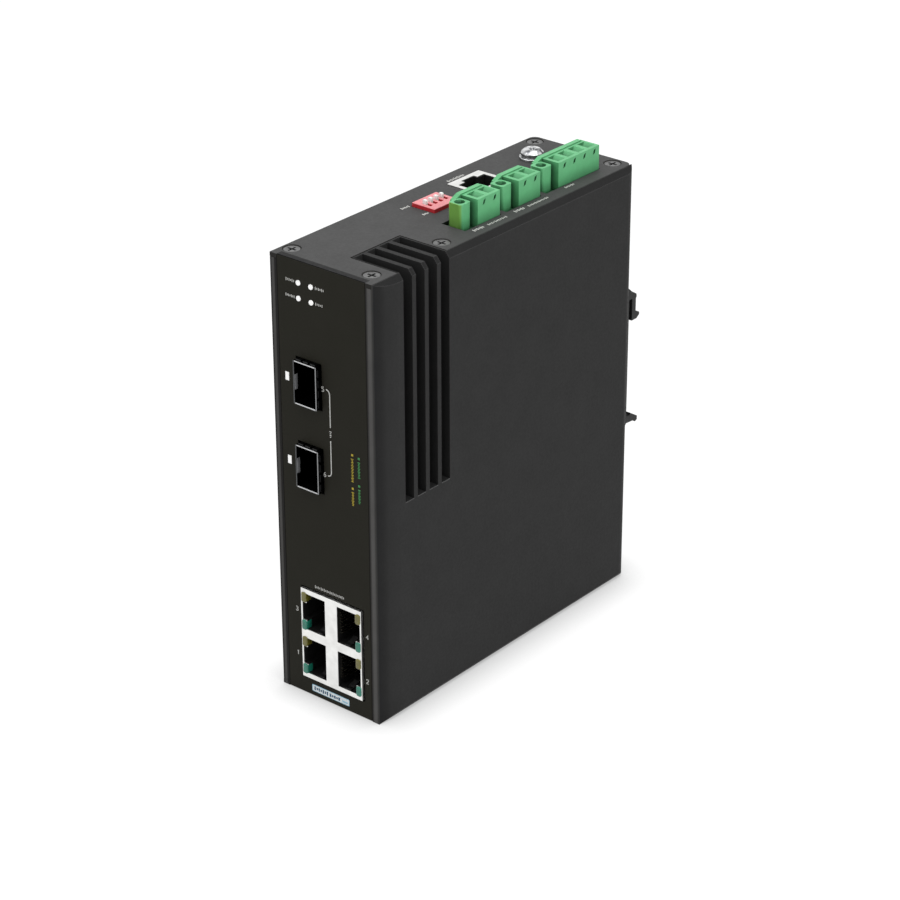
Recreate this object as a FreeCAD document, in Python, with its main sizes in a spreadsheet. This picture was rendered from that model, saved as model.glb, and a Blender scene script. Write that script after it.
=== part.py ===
import FreeCAD, Part
import math
import os

import Sketcher

# Industrial Ethernet switch for a DIN rail, in millimetres.
# Positions are measured from the front left bottom corner of the housing:
# x to the right, y to the back, z up. Every finished piece is then moved so
# that the origin lies under the middle of the housing.

SIZES = [
    ("plate_width", 40.2, "width of the top plate, left wall to bevel"),
    ("side_bulge", 1.5, "how far the right wall stands out past the top plate"),
    ("bulge_run", 9.5, "length of the curve from the front edge to the flat side"),
    ("depth", 126, "front edge to rear panel"),
    ("height", 148, "underside to top plate"),
    ("bevel_drop", 1.9, "height of the bevels of the right wall"),
    ("corner_round", 4, "plan radius of the rear corners"),
    ("strip", 2.8, "width of the wall edges seen from the front"),
    ("plate_gauge", 1.5, "thickness of the top and bottom plates"),
    ("rim_land", 0.3, "flat left between plate and bevel"),
    ("panel_gauge", 2, "thickness of the front and rear panels"),
    ("film_gauge", 0.3, "thickness of the printed film"),
    ("boss_length", 12, "length of the screw bosses under the top plate"),
    ("foot_length", 4.6, "length of the screw bosses over the bottom plate"),
    ("boss_width", 7, "width of the screw bosses"),
    ("slot_floor", 73.3, "height of the bottom of the cooling slots"),
    ("slot_start", 12, "front edge to the first cooling slot"),
    ("slot_width", 3.9, "width of a cooling slot"),
    ("fin_width", 1.75, "thickness of a fin"),
    ("slot_root", 22.6, "left wall face to the root of the slots"),
    ("slot_round", 8, "radius at the foot of the slots"),
    ("pocket_wall", 2.2, "wall around the slots"),
    ("notch_gap", 0.5, "gap between the fin block and the top plate"),
    ("screw_left", 3.5, "plate screws from the left"),
    ("screw_front", 6, "front plate screws from the front"),
    ("screw_rear", 3.8, "rear plate screws from the back"),
    ("screw_beside_fins", 37.6, "middle plate screw from the front"),
    ("head_radius", 2.9, "radius of the sink for a screw head"),
    ("head_sunk", 0.25, "face of a screw head below the plate"),
    ("shank_radius", 1.3, "radius of a screw shank"),
    ("screw_length", 8, "length of a top screw"),
    ("foot_screw", 5.5, "length of a bottom screw"),
    ("cross_width", 0.75, "width of a cross recess"),
    ("cross_length", 3.2, "length of a cross recess"),
    ("board_face", 9.3, "component side of the main board"),
    ("board_gauge", 1.6, "thickness of the boards"),
    ("board_front", 10.5, "front edge of the main board"),
    ("board_back", 9, "rear edge of the boards from the back"),
    ("board_low", 3, "bottom edge of the main board"),
    ("board_high", 5, "top edge of the boards below the top"),
    ("power_front", 45, "front edge of the power board"),
    ("power_low", 40, "bottom edge of the power board"),
    ("cage_left", 9.9, "left side of the module cages"),
    ("cage_high", 9.2, "module cage across the board"),
    ("cage_wide", 14.25, "module cage along the board"),
    ("cage_length", 47, "length of a module cage"),
    ("cage_reach", 2, "module cage in front of the film"),
    ("cage_sheet", 0.4, "sheet of the cages and shields"),
    ("cage_upper", 109.2, "height of the upper cage"),
    ("cage_lower", 81.2, "height of the lower cage"),
    ("finger_flare", 0.5, "spring fingers outside the cage"),
    ("jack_wide", 31.7, "socket block along the board"),
    ("jack_length", 25.5, "length of the socket block"),
    ("jack_reach", 0.8, "socket block in front of the film"),
    ("jack_middle", 22.35, "height of the middle of the socket block"),
    ("port_pitch", 15.8, "spacing of the sockets"),
    ("port_wide", 12.6, "socket mouth across the plug"),
    ("port_inset", 2.3, "outer side of the block to the socket mouth"),
    ("port_depth", 13, "depth of a socket"),
    ("latch_wide", 6.2, "width of the latch recess"),
    ("latch_high", 1.7, "depth of the latch recess"),
    ("window_wide", 2.8, "socket light window along the board"),
    ("window_high", 1.6, "socket light window across the board"),
    ("window_deep", 1.8, "socket light window into the socket block"),
    ("light_radius", 0.85, "radius of a status light"),
    ("light_left", 11.3, "first column of status lights"),
    ("light_pitch", 5, "spacing of the status lights"),
    ("light_length", 10, "length of a light pipe"),
    ("link_left", 5.1, "module light from the left"),
    ("link_wide", 1.4, "width of a module light"),
    ("link_tall", 2.7, "height of a module light"),
    ("console_left", 6.2, "left side of the console socket"),
    ("console_high", 12.4, "console socket across the board"),
    ("console_wide", 15.4, "console socket along the board"),
    ("console_length", 16, "depth of the console socket below the top"),
    ("console_rise", 0.3, "console socket above the top plate"),
    ("dip_wide", 9.2, "switch bank across the board"),
    ("dip_long", 11.6, "switch bank along the board"),
    ("dip_rise", 1.2, "switch bank above the top plate"),
    ("dip_depth", 9, "switch bank below the top plate"),
    ("dip_pitch", 2.54, "spacing of the sliders"),
    ("dip_travel", 1.8, "travel of a slider"),
    ("slider_long", 1.4, "slider along its travel"),
    ("slider_wide", 1.1, "slider across its travel"),
    ("slider_rise", 1.2, "slider above the switch bank"),
    ("pole_pitch", 5.08, "spacing of the terminal poles"),
    ("plug_rise", 8, "terminal plugs above the top plate"),
    ("flange_ahead", 3.5, "flange hole in front of its pole block"),
    ("flange_inset", 0.6, "flange column from the left side of the plug"),
    ("flange_across", 5.1, "flange column across the plug"),
    ("flange_wide", 4.9, "flange column along the plug"),
    ("flange_rise", 7.4, "flange above the top plate"),
    ("flange_hole", 1.7, "radius of a flange hole"),
    ("header_depth", 14, "plug sockets below the top plate"),
    ("tongue_depth", 9, "plug tongue below the top plate"),
    ("ground_across", 12.5, "ground screw from the left"),
    ("ground_radius", 2, "radius of the ground screw's shank"),
    ("clip_gauge", 3, "thickness of the rail bracket"),
    ("rail_gap", 1.6, "slot of the rail hook"),
    ("rail_seat", 56.9, "height of the lower rail lip"),
    ("rail_high", 35, "height of the rail"),
]


# Sizes that follow another one: a share of it, and what is added to that
TIED_SIZES = [
    ("screw_right", "plate_width", 1, -5.4, "plate screws on the right"),
    ("power_face", "plate_width", 1, -14.7, "component side of the power board"),
    ("plug_left", "plate_width", 1, -13.2, "left side of the terminal plugs"),
    ("plug_right", "plate_width", 1, -5.8, "right side of the terminal plugs"),
    ("jack_high", "plate_width", 1, -15.4, "socket block across the board"),
    ("port_high", "jack_high", 0.5, -4.8, "socket mouth without the latch recess"),
    ("plug_start", "depth", 0.5, -7.9, "first pole block from the front"),
    ("plug_pitch", "depth", 0.157143, 0, "spacing of the terminal plugs"),
    ("console_middle", "depth", 0.653175, 0, "console socket from the front"),
    ("dip_middle", "depth", 0.473810, 0, "switch bank from the front"),
    ("ground_along", "depth", 1, -16.6, "ground screw from the front"),
    ("light_low", "height", 1, -12, "lower row of status lights"),
    ("clip_wide", "plate_width", 1, -5.9, "width of the rail bracket"),
]


class Size:
    """A driving size or a sum of sizes: its value now and its expression."""

    def __init__(self, text, value):
        self.text = text
        self.value = float(value)

    def __add__(self, other):
        other = sized(other)
        return Size(f"({self.text} + {other.text})", self.value + other.value)

    def __sub__(self, other):
        other = sized(other)
        return Size(f"({self.text} - {other.text})", self.value - other.value)

    def __mul__(self, factor):
        return Size(f"({self.text} * {factor:g})", self.value * factor)

    def __neg__(self):
        return Size(f"(-1 * {self.text})", -self.value)


def sized(number):
    """A plain number as a size."""
    if isinstance(number, Size):
        return number
    return Size(f"({number:.6g})", number)


class Dimensions:
    """The driving sizes by name."""


def fill_sheet(sheet):
    """Write the driving and the tied sizes into the sheet and return them by name."""
    named = Dimensions()
    for row, (alias, value, meaning) in enumerate(SIZES, start=1):
        sheet.set(f"A{row}", meaning)
        sheet.set(f"B{row}", str(value))
        sheet.setAlias(f"B{row}", alias)
        setattr(named, alias, Size(f"dims.{alias}", value))
    for row, (alias, base, share, extra, meaning) in enumerate(TIED_SIZES, start=len(SIZES) + 1):
        sheet.set(f"A{row}", meaning)
        sheet.set(f"B{row}", f"={base} * {share:g} + {extra:g}")
        sheet.setAlias(f"B{row}", alias)
        value = getattr(named, base).value * share + extra
        setattr(named, alias, Size(f"dims.{alias}", value))
    return named


doc = FreeCAD.newDocument("rail_switch")
sheet = doc.addObject("Spreadsheet::Sheet", "dims")
d = fill_sheet(sheet)
doc.recompute()

nodes = []
corners = {}
TURN_TO = {
    "x": FreeCAD.Rotation(FreeCAD.Vector(0, 1, 0), 90),
    "y": FreeCAD.Rotation(FreeCAD.Vector(1, 0, 0), -90),
    "z": FreeCAD.Rotation(),
    "down": FreeCAD.Rotation(FreeCAD.Vector(1, 0, 0), 180),
    "forward": FreeCAD.Rotation(FreeCAD.Vector(1, 0, 0), 90),
}
WAY = {"z": (0, 0, 1), "down": (0, 0, -1), "forward": (0, -1, 0)}
PIN_SIDES = 8
HEAD_SIDES = 16


def bind(owner, name, size):
    """Drive a property of an object by a size."""
    owner.setExpression(name, sized(size).text)


def put(shape, x, y, z, turn="z"):
    """Place a primitive, with its own axis along the named direction."""
    shape.Placement = FreeCAD.Placement(FreeCAD.Vector(), TURN_TO[turn])
    corners[shape.Name] = (sized(x), sized(y), sized(z))
    for axis, size in zip("xyz", corners[shape.Name]):
        bind(shape, f"Placement.Base.{axis}", size)
    return shape


def box(name, x, y, z):
    """A box between two sizes on each axis."""
    shape = doc.addObject("Part::Box", name)
    for side, (low, high) in zip(("Length", "Width", "Height"), (x, y, z)):
        bind(shape, side, sized(high) - low)
    return put(shape, x[0], y[0], z[0])


def cylinder(name, at, radius, length, turn="z"):
    """A cylinder from a point along an axis."""
    shape = doc.addObject("Part::Cylinder", name)
    bind(shape, "Radius", radius)
    bind(shape, "Height", length)
    return put(shape, *at, turn)


def peg(name, at, radius, length, turn="z", sides=PIN_SIDES):
    """A pin with flat sides, for small fasteners and their holes."""
    shape = doc.addObject("Part::Prism", name)
    shape.Polygon = sides
    bind(shape, "Circumradius", radius)
    bind(shape, "Height", length)
    return put(shape, *at, turn)


def sloped_peg(name, at, radius, length, turn, slope):
    """A flat-sided peg with the rim of its far end cut to a slope of 45 degrees."""
    blank = peg(f"{name}_straight", at, radius, length, turn, HEAD_SIDES)
    blank.recompute()
    way = FreeCAD.Vector(*WAY[turn])
    reach = [edge.CenterOfMass.dot(way) for edge in blank.Shape.Edges]
    far = max(reach) - 1e-6
    cut_back = sized(slope).value
    shape = doc.addObject("Part::Chamfer", name)
    shape.Base = blank
    shape.Edges = [(index, cut_back, cut_back) for index, end in enumerate(reach, start=1) if end > far]
    return shape


def fuse(name, *shapes):
    """One solid from several."""
    shape = doc.addObject("Part::MultiFuse", name)
    shape.Shapes = list(shapes)
    return shape


def cut(name, base, *tools):
    """A solid with one or more tools taken out of it."""
    shape = doc.addObject("Part::Cut", name)
    shape.Base = base
    shape.Tool = tools[0] if len(tools) == 1 else fuse(f"{name}_tools", *tools)
    return shape


def group(name, shapes):
    """Separate solids kept together as one piece."""
    shape = doc.addObject("Part::Compound", name)
    shape.Links = list(shapes)
    return shape


def node(label, shape):
    """Finish a piece: name it and move it over the origin."""
    shape.Label = label
    x, y, z = corners.get(shape.Name, (sized(0), sized(0), sized(0)))
    bind(shape, "Placement.Base.x", x - (d.plate_width + d.side_bulge) * 0.5)
    bind(shape, "Placement.Base.y", y - d.depth * 0.5)
    bind(shape, "Placement.Base.z", z)
    nodes.append(shape)


def new_body(name):
    """An empty body."""
    return doc.addObject("PartDesign::Body", name)


def origin_part(body, role):
    """A plane or axis of a body's own origin."""
    return next(part for part in body.Origin.OriginFeatures if part.Role == role)


def sketch_on(body, name, plane, start):
    """A sketch on a plane of the body, moved along the plane's positive axis."""
    drawing = body.newObject("Sketcher::SketchObject", name)
    drawing.AttachmentSupport = (origin_part(body, f"{plane.upper()}_Plane"), [""])
    drawing.MapMode = "FlatFace"
    start = sized(start)
    bind(drawing, "AttachmentOffset.Base.z", -start if plane == "xz" else start)
    return drawing


def constrain(drawing, size, kind, *where):
    """Add a sketch dimension driven by a size."""
    size = sized(size)
    index = drawing.addConstraint(Sketcher.Constraint(kind, *where, size.value))
    drawing.setExpression(f"Constraints[{index}]", size.text)


def pin(drawing, line, end, u, v):
    """Fix one end of a line by its distances from the sketch origin."""
    constrain(drawing, u, "DistanceX", -1, 1, line, end)
    constrain(drawing, v, "DistanceY", -1, 1, line, end)


def polygon(drawing, points):
    """A closed outline with every corner driven by sizes."""
    values = [FreeCAD.Vector(sized(u).value, sized(v).value, 0) for u, v in points]
    first = drawing.GeometryCount
    for here, there in zip(values, values[1:] + values[:1]):
        drawing.addGeometry(Part.LineSegment(here, there), False)
    for index, (u, v) in enumerate(points):
        line = first + index
        before = first + (index - 1) % len(points)
        drawing.addConstraint(Sketcher.Constraint("Coincident", before, 2, line, 1))
        pin(drawing, line, 1, u, v)


def ring(drawing, u, v, radius):
    """A circle driven by sizes."""
    u, v, radius = sized(u), sized(v), sized(radius)
    centre = FreeCAD.Vector(u.value, v.value, 0)
    circle = Part.Circle(centre, FreeCAD.Vector(0, 0, 1), radius.value)
    index = drawing.addGeometry(circle, False)
    constrain(drawing, radius, "Radius", index)
    pin(drawing, index, 3, u, v)


def rectangle(u, v):
    """Corner points of a rectangle between two sizes on each axis."""
    return [(u[0], v[0]), (u[1], v[0]), (u[1], v[1]), (u[0], v[1])]


def facets(u, v, radius, sides=PIN_SIDES):
    """Corner points of a hole that takes a peg."""
    points = []
    for step in range(sides):
        angle = math.tau * step / sides
        across, along = round(math.cos(angle), 6), round(math.sin(angle), 6)
        points.append((sized(u) + sized(radius) * across, sized(v) + sized(radius) * along))
    return points


def extrude(body, kind, name, plane, start, length, *loops):
    """Pad or pocket loops from a start along the positive axis of a plane."""
    drawing = sketch_on(body, f"{name}_sketch", plane, start)
    for loop in loops:
        if isinstance(loop, tuple):
            ring(drawing, *loop)
        else:
            polygon(drawing, loop)
    return extrude_sketch(body, kind, name, plane, drawing, length)


def extrude_sketch(body, kind, name, plane, drawing, length):
    """Pad or pocket a finished sketch along the positive axis of its plane."""
    feature = body.newObject(f"PartDesign::{kind}", name)
    feature.Profile = drawing
    bind(feature, "Length", length)
    backward = plane == "xz"
    feature.Reversed = backward if kind == "Pad" else not backward
    body.Tip = feature
    return feature


def repeat(body, feature, name, pitch, count):
    """Repeat a feature towards the back."""
    if count == 1:
        return feature
    pattern = body.newObject("PartDesign::LinearPattern", name)
    pattern.Originals = [feature]
    pattern.Direction = (origin_part(body, "Y_Axis"), [""])
    bind(pattern, "Length", pitch * (count - 1))
    pattern.Occurrences = count
    body.Tip = pattern
    return pattern


def round_edges(body, name, radius, wanted):
    """Round the edges of a body that pass a test on their middle point."""
    doc.recompute()
    base = body.Tip
    names = []
    for index, edge in enumerate(base.Shape.Edges, start=1):
        middle = edge.valueAt((edge.FirstParameter + edge.LastParameter) / 2)
        if wanted(edge, middle):
            names.append(f"Edge{index}")
    feature = body.newObject("PartDesign::Fillet", name)
    feature.Base = (base, names)
    bind(feature, "Radius", radius)
    body.Tip = feature
    return feature


def upright(edge):
    """Whether an edge is a straight vertical line."""
    first, last = edge.Vertexes[0].Point, edge.Vertexes[-1].Point
    return abs(first.x - last.x) < 1e-6 and abs(first.y - last.y) < 1e-6


inner = d.plate_width - d.strip
outer = d.plate_width + d.side_bulge
under_top = d.height - d.plate_gauge
panel_back = d.film_gauge + d.panel_gauge
fin_pitch = d.slot_width + d.fin_width
slot_end = d.slot_start + fin_pitch * 3 + d.slot_width
rear_screw = d.depth - d.screw_rear
PLATE_SCREWS = [
    (d.screw_left, d.screw_front),
    (d.screw_right, d.screw_front),
    (d.screw_left, rear_screw),
    (d.screw_right, rear_screw),
    (d.screw_right, d.screw_beside_fins),
]
CORNER_SCREWS = PLATE_SCREWS[:4]


# Right wall with the cooling slots
def draw_wall_outline(drawing):
    """Plan of the right wall: bulged side, run-in at the front, round rear corner."""
    front = [(inner.value, 0), (d.plate_width.value, 0)]
    rear = [(outer - d.corner_round).value, d.depth.value]
    run = d.bulge_run.value
    bulge = d.side_bulge.value
    radius = (run * run + bulge * bulge) / (2 * bulge)
    lines = [
        (front[0], front[1]),
        ((outer.value, run), (outer.value, d.depth.value - d.corner_round.value)),
        (rear, (inner.value, d.depth.value)),
        ((inner.value, d.depth.value), front[0]),
    ]
    for here, there in lines:
        ends = FreeCAD.Vector(*here, 0), FreeCAD.Vector(*there, 0)
        drawing.addGeometry(Part.LineSegment(*ends), False)
    up = FreeCAD.Vector(0, 0, 1)
    centre = FreeCAD.Vector(outer.value - radius, run, 0)
    sweep = FreeCAD.Vector(d.plate_width.value - centre.x, -run, 0)
    start = sweep.getAngle(FreeCAD.Vector(1, 0, 0))
    drawing.addGeometry(Part.ArcOfCircle(Part.Circle(centre, up, radius), -start, 0), False)
    turn = d.corner_round.value
    middle = FreeCAD.Vector(outer.value - turn, d.depth.value - turn, 0)
    drawing.addGeometry(Part.ArcOfCircle(Part.Circle(middle, up, turn), 0, math.pi / 2), False)
    pin(drawing, 0, 1, inner, 0)
    pin(drawing, 0, 2, d.plate_width, 0)
    pin(drawing, 3, 1, inner, d.depth)
    constrain(drawing, outer, "DistanceX", -1, 1, 1, 1)
    constrain(drawing, d.bulge_run, "DistanceY", -1, 1, 1, 1)
    constrain(drawing, d.corner_round, "Radius", 5)
    ties = [
        ("Coincident", 0, 2, 4, 1),
        ("Tangent", 4, 2, 1, 1),
        ("Vertical", 1),
        ("Tangent", 1, 2, 5, 1),
        ("Tangent", 5, 2, 2, 1),
        ("Horizontal", 2),
        ("Coincident", 2, 2, 3, 1),
        ("Coincident", 3, 2, 0, 1),
    ]
    for tie in ties:
        drawing.addConstraint(Sketcher.Constraint(*tie))


def draw_slot(drawing):
    """Cooling slot seen from the front: open at the side and the top, rounded at its foot."""
    side, top = outer + 1, d.height + 1
    floor, root, turn = d.slot_floor, d.slot_root, d.slot_round
    points = [(root, top), (root, floor + turn), (root + turn, floor), (side, floor), (side, top)]
    places = [FreeCAD.Vector(u.value, v.value, 0) for u, v in points]
    for here, there in ((0, 1), (2, 3), (3, 4), (4, 0)):
        drawing.addGeometry(Part.LineSegment(places[here], places[there]), False)
    centre = FreeCAD.Vector((root + turn).value, (floor + turn).value, 0)
    circle = Part.Circle(centre, FreeCAD.Vector(0, 0, 1), turn.value)
    drawing.addGeometry(Part.ArcOfCircle(circle, math.pi, math.pi * 1.5), False)
    pin(drawing, 0, 1, root, top)
    pin(drawing, 2, 1, side, floor)
    constrain(drawing, turn, "Radius", 4)
    ties = [
        ("Tangent", 0, 2, 4, 1),
        ("Tangent", 4, 2, 1, 1),
        ("Coincident", 1, 2, 2, 1),
        ("Coincident", 2, 2, 3, 1),
        ("Coincident", 3, 2, 0, 1),
        ("Vertical", 0),
        ("Horizontal", 1),
        ("Vertical", 2),
        ("Horizontal", 3),
    ]
    for tie in ties:
        drawing.addConstraint(Sketcher.Constraint(*tie))


BOSSES = {
    "top": (under_top - d.boss_length, d.boss_length, d.height - d.screw_length, d.screw_length),
    "bottom": (d.plate_gauge, d.foot_length, d.plate_gauge, d.foot_screw),
}


def add_bosses(body, spots):
    """Screw bosses at the ends of a wall. Gives the pegs that bore them."""
    bores = []
    for number, (end, x, y, hole) in enumerate(spots, start=1):
        low, length, hole_low, screw = BOSSES[end]
        name = f"{body.Name}_boss_{number}"
        extrude(body, "Pad", name, "xy", low, length, rectangle(x, y))
        deep = screw - d.plate_gauge
        bores.append(peg(f"{name}_bore", (*hole, hole_low), d.shank_radius, deep))
    return bores


wall = new_body("heatsink_blank")
wall_outline = sketch_on(wall, "wall_outline", "xy", 0)
draw_wall_outline(wall_outline)
extrude_sketch(wall, "Pad", "wall_slab", "xy", wall_outline, d.height)
seat = rectangle((inner, d.plate_width - d.rim_land), (0, d.depth))
extrude(wall, "Pocket", "top_seat", "xy", under_top, d.plate_gauge, seat)
extrude(wall, "Pocket", "bottom_seat", "xy", 0, d.plate_gauge, seat)
block = rectangle(
    (d.slot_root - d.pocket_wall, inner + 1),
    (d.slot_start - d.pocket_wall, slot_end + d.pocket_wall),
)
block_low = d.slot_floor - d.pocket_wall
extrude(wall, "Pad", "fin_block", "xy", block_low, under_top - block_low, block)
crest = rectangle(
    (d.slot_root - d.notch_gap, d.plate_width - d.rim_land),
    (d.slot_start - d.notch_gap * 0.5, slot_end + d.notch_gap),
)
extrude(wall, "Pad", "fin_crest", "xy", under_top, d.plate_gauge, crest)
boss_back = d.screw_front + d.boss_width * 0.5
boss_left = d.screw_right - d.boss_width * 0.5
boss_ahead = rear_screw - d.boss_width * 0.5
beside_fins = (d.screw_beside_fins - d.boss_width * 0.5, d.screw_beside_fins + d.boss_width * 0.5)
boss_across = (boss_left, inner + 1)
boss_front = (panel_back, boss_back)
boss_rear = (boss_ahead, d.depth - d.panel_gauge)
wall_bores = add_bosses(wall, [
    ("top", boss_across, boss_front, PLATE_SCREWS[1]),
    ("top", boss_across, beside_fins, PLATE_SCREWS[4]),
    ("top", boss_across, boss_rear, PLATE_SCREWS[3]),
    ("bottom", boss_across, boss_front, PLATE_SCREWS[1]),
    ("bottom", boss_across, boss_rear, PLATE_SCREWS[3]),
])
slot_outline = sketch_on(wall, "slot_outline", "xz", d.slot_start)
draw_slot(slot_outline)
slot = extrude_sketch(wall, "Pocket", "slot", "xz", slot_outline, d.slot_width)
repeat(wall, slot, "slots", fin_pitch, 4)
bevel_side = d.plate_width + d.side_bulge * 2
top_bevel = [
    (d.plate_width, d.height),
    (bevel_side, d.height),
    (bevel_side, d.height - d.bevel_drop * 2),
]
extrude(wall, "Pocket", "top_bevel", "xz", 0, d.depth, top_bevel)
bottom_bevel = [(d.plate_width, 0), (bevel_side, 0), (bevel_side, d.bevel_drop * 2)]
extrude(wall, "Pocket", "bottom_bevel", "xz", 0, d.depth, bottom_bevel)
node("heatsink_wall", cut("heatsink_wall", wall, *wall_bores))

# Left wall, panels and plates
left = new_body("left_blank")
left_plan = rectangle((0, d.strip), (0, d.depth))
extrude(left, "Pad", "left_slab", "xy", d.plate_gauge, d.height - d.plate_gauge * 2, left_plan)
round_edges(
    left, "left_rear_round", d.strip * 0.9,
    lambda edge, middle: upright(edge) and middle.x < 0.1 and middle.y > d.depth.value - 0.1,
)
boss_right = d.screw_left + d.boss_width * 0.5
left_across = (d.strip - 1, boss_right)
left_bores = add_bosses(left, [
    (end, left_across, along, spot)
    for end in BOSSES
    for along, spot in ((boss_front, PLATE_SCREWS[0]), (boss_rear, PLATE_SCREWS[2]))
])
node("left_wall", cut("left_wall", left, *left_bores))

LIGHTS = [
    (d.light_left + d.light_pitch * column, d.light_low + d.light_pitch * row)
    for column in (0, 1) for row in (0, 1)
]
LINKS = [
    ((d.link_left, d.link_left + d.link_wide), (cage - d.link_tall * 0.5, cage + d.link_tall * 0.5))
    for cage in (d.cage_upper, d.cage_lower)
]
CAGES = {"upper": d.cage_upper, "lower": d.cage_lower}
jack_right = d.board_face + d.jack_high
jack_low = d.jack_middle - d.jack_wide * 0.5
jack_top = d.jack_middle + d.jack_wide * 0.5


def front_cutouts():
    """Openings that the front panel and its film share."""
    loops = []
    room = d.finger_flare + 0.1
    for middle in CAGES.values():
        across = (d.cage_left - room, d.cage_left + d.cage_high + room)
        along = (middle - d.cage_wide * 0.5 - room, middle + d.cage_wide * 0.5 + room)
        loops.append(rectangle(across, along))
    loops.append(rectangle((d.board_face - 0.5, jack_right + 0.5), (jack_low - 0.5, jack_top + 0.5)))
    loops += [rectangle(x, z) for x, z in LINKS]
    return loops


def lit_sheet(name, start, gauge, outline):
    """A front sheet with the openings and a hole for every status light."""
    body = new_body(f"{name}_blank")
    extrude(body, "Pad", f"{name}_sheet", "xz", start, gauge, outline, *front_cutouts())
    holes = [
        peg(f"{name}_light_{number}", (x, start, z), d.light_radius, gauge, "y")
        for number, (x, z) in enumerate(LIGHTS, start=1)
    ]
    node(name, cut(name, body, *holes))


lit_sheet("front_panel", d.film_gauge, d.panel_gauge, rectangle((d.strip, inner), (0, d.height)))
film_face = rectangle((d.strip + 0.15, inner - 0.15), (0.3, d.height - 0.3))
lit_sheet("front_film", sized(0), d.film_gauge, film_face)

clip_middle = (d.plate_width + d.side_bulge) * 0.5
CLIP_SCREWS = [
    (clip_middle, d.rail_seat + d.rail_high * 0.78),
    (clip_middle - 9, d.rail_seat + d.rail_high * 0.28),
    (clip_middle + 9, d.rail_seat + d.rail_high * 0.28),
]
rear = new_body("rear_blank")
rear_sheet = rectangle((d.strip, inner), (d.plate_gauge, under_top))
rear_start = d.depth - d.panel_gauge
extrude(rear, "Pad", "rear_sheet", "xz", rear_start, d.panel_gauge, rear_sheet)
rear_holes = [
    peg(f"rear_hole_{number}", (x, rear_start, z), d.shank_radius, d.panel_gauge, "y")
    for number, (x, z) in enumerate(CLIP_SCREWS, start=1)
]
node("rear_panel", cut("rear_panel", rear, *rear_holes))

plate_right = d.plate_width - d.rim_land
sink_depth = d.plate_gauge * 0.9
sink_slope = sink_depth * 0.9


def plate_outline():
    """Plan of the bottom plate: the front panel stands in front of its middle."""
    return [
        (0, 0), (d.strip, 0), (d.strip, panel_back), (inner, panel_back), (inner, 0),
        (plate_right, 0), (plate_right, d.depth), (0, d.depth),
    ]


def notched_outline():
    """Plan of the top plate, with the notch for the fin block."""
    notch_left = d.slot_root - d.notch_gap * 2
    notch_front = d.slot_start - d.notch_gap
    notch_back = slot_end + d.notch_gap * 2
    return plate_outline()[:6] + [
        (plate_right, notch_front), (notch_left, notch_front),
        (notch_left, notch_back), (plate_right, notch_back),
    ] + plate_outline()[6:]


PLUGS = []
for index, poles in enumerate((2, 2, 4)):
    start = d.plug_start + d.plug_pitch * index
    PLUGS.append({
        "poles": poles,
        "start": start,
        "end": start + d.pole_pitch * poles + 0.5,
        "flange": start - d.flange_ahead,
    })
header_right = d.plug_right + 0.2
console_right = d.console_left + d.console_high
console_front = d.console_middle - d.console_wide * 0.5
console_back = d.console_middle + d.console_wide * 0.5
dip_right = d.board_face + d.dip_wide
dip_front = d.dip_middle - d.dip_long * 0.5
dip_back = d.dip_middle + d.dip_long * 0.5


def top_windows():
    """Openings of the top plate for switch bank, console socket, plugs and ground screw."""
    loops = [
        rectangle((d.board_face - 0.2, dip_right + 0.2), (dip_front - 0.2, dip_back + 0.2)),
        rectangle((d.console_left - 0.2, console_right + 0.2), (console_front - 0.2, console_back + 0.2)),
    ]
    for plug in PLUGS:
        along = (plug["flange"] - d.flange_wide * 0.5 - 0.4, plug["end"] + 0.3)
        loops.append(rectangle((d.plug_left - 1.5, d.plug_right + 0.3), along))
    return loops


def rounded_rear(x):
    """Test for the upright rear edges of a plate."""
    def wanted(edge, middle):
        at_back = middle.y > d.depth.value - 0.1
        return upright(edge) and at_back and (middle.x < 0.1 or middle.x > x.value - 0.1)
    return wanted


def sunk_holes(name, spots, turn, deep):
    """Countersunk holes at a set of points, as tools to cut with."""
    tools = []
    for number, at in enumerate(spots, start=1):
        tools.append(sloped_peg(f"{name}_sink_{number}", at, d.head_radius, sink_depth, turn, sink_slope))
        tools.append(peg(f"{name}_hole_{number}", at, d.shank_radius, deep, turn))
    return tools


def finished_plate(name, outline, low, windows, tools):
    """A plate with windows and rounded rear corners, bored with tools."""
    body = new_body(f"{name}_blank")
    extrude(body, "Pad", f"{name}_sheet", "xy", low, d.plate_gauge, outline, *windows)
    round_edges(body, f"{name}_rounds", d.strip * 0.9, rounded_rear(plate_right))
    node(name, cut(name, body, *tools))


TOP_SPOTS = [(x, y, d.height) for x, y in PLATE_SCREWS]
BOTTOM_SPOTS = [(x, y, 0) for x, y in CORNER_SCREWS]
ground = (d.ground_across, d.ground_along)
top_tools = sunk_holes("top_plate", TOP_SPOTS, "down", d.plate_gauge)
top_tools.append(peg("ground_hole", (*ground, under_top), d.ground_radius, d.plate_gauge))
finished_plate("top_plate", notched_outline(), under_top, top_windows(), top_tools)
bottom_tools = sunk_holes("bottom_plate", BOTTOM_SPOTS, "z", d.plate_gauge)
finished_plate("bottom_plate", plate_outline(), 0, [], bottom_tools)


# Screws
def spans(at, turn, first, second, deep):
    """Ranges of a box around a screw axis: two half sizes across it and a depth along it."""
    x, y, z = (sized(size) for size in at)
    if turn == "forward":
        return (x - first, x + first), (y - deep, y), (z - second, z + second)
    along = (z - deep, z) if turn == "down" else (z, z + deep)
    return (x - first, x + first), (y - second, y + second), along


def crossed(name, blank, at, turn):
    """A screw blank with a cross recess in its face."""
    half_long, half_wide = d.cross_length * 0.5, d.cross_width * 0.5
    one = box(f"{name}_bar", *spans(at, turn, half_long, half_wide, 0.9))
    other = box(f"{name}_crossbar", *spans(at, turn, half_wide, half_long, 0.9))
    return cut(name, blank, one, other)


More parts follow.
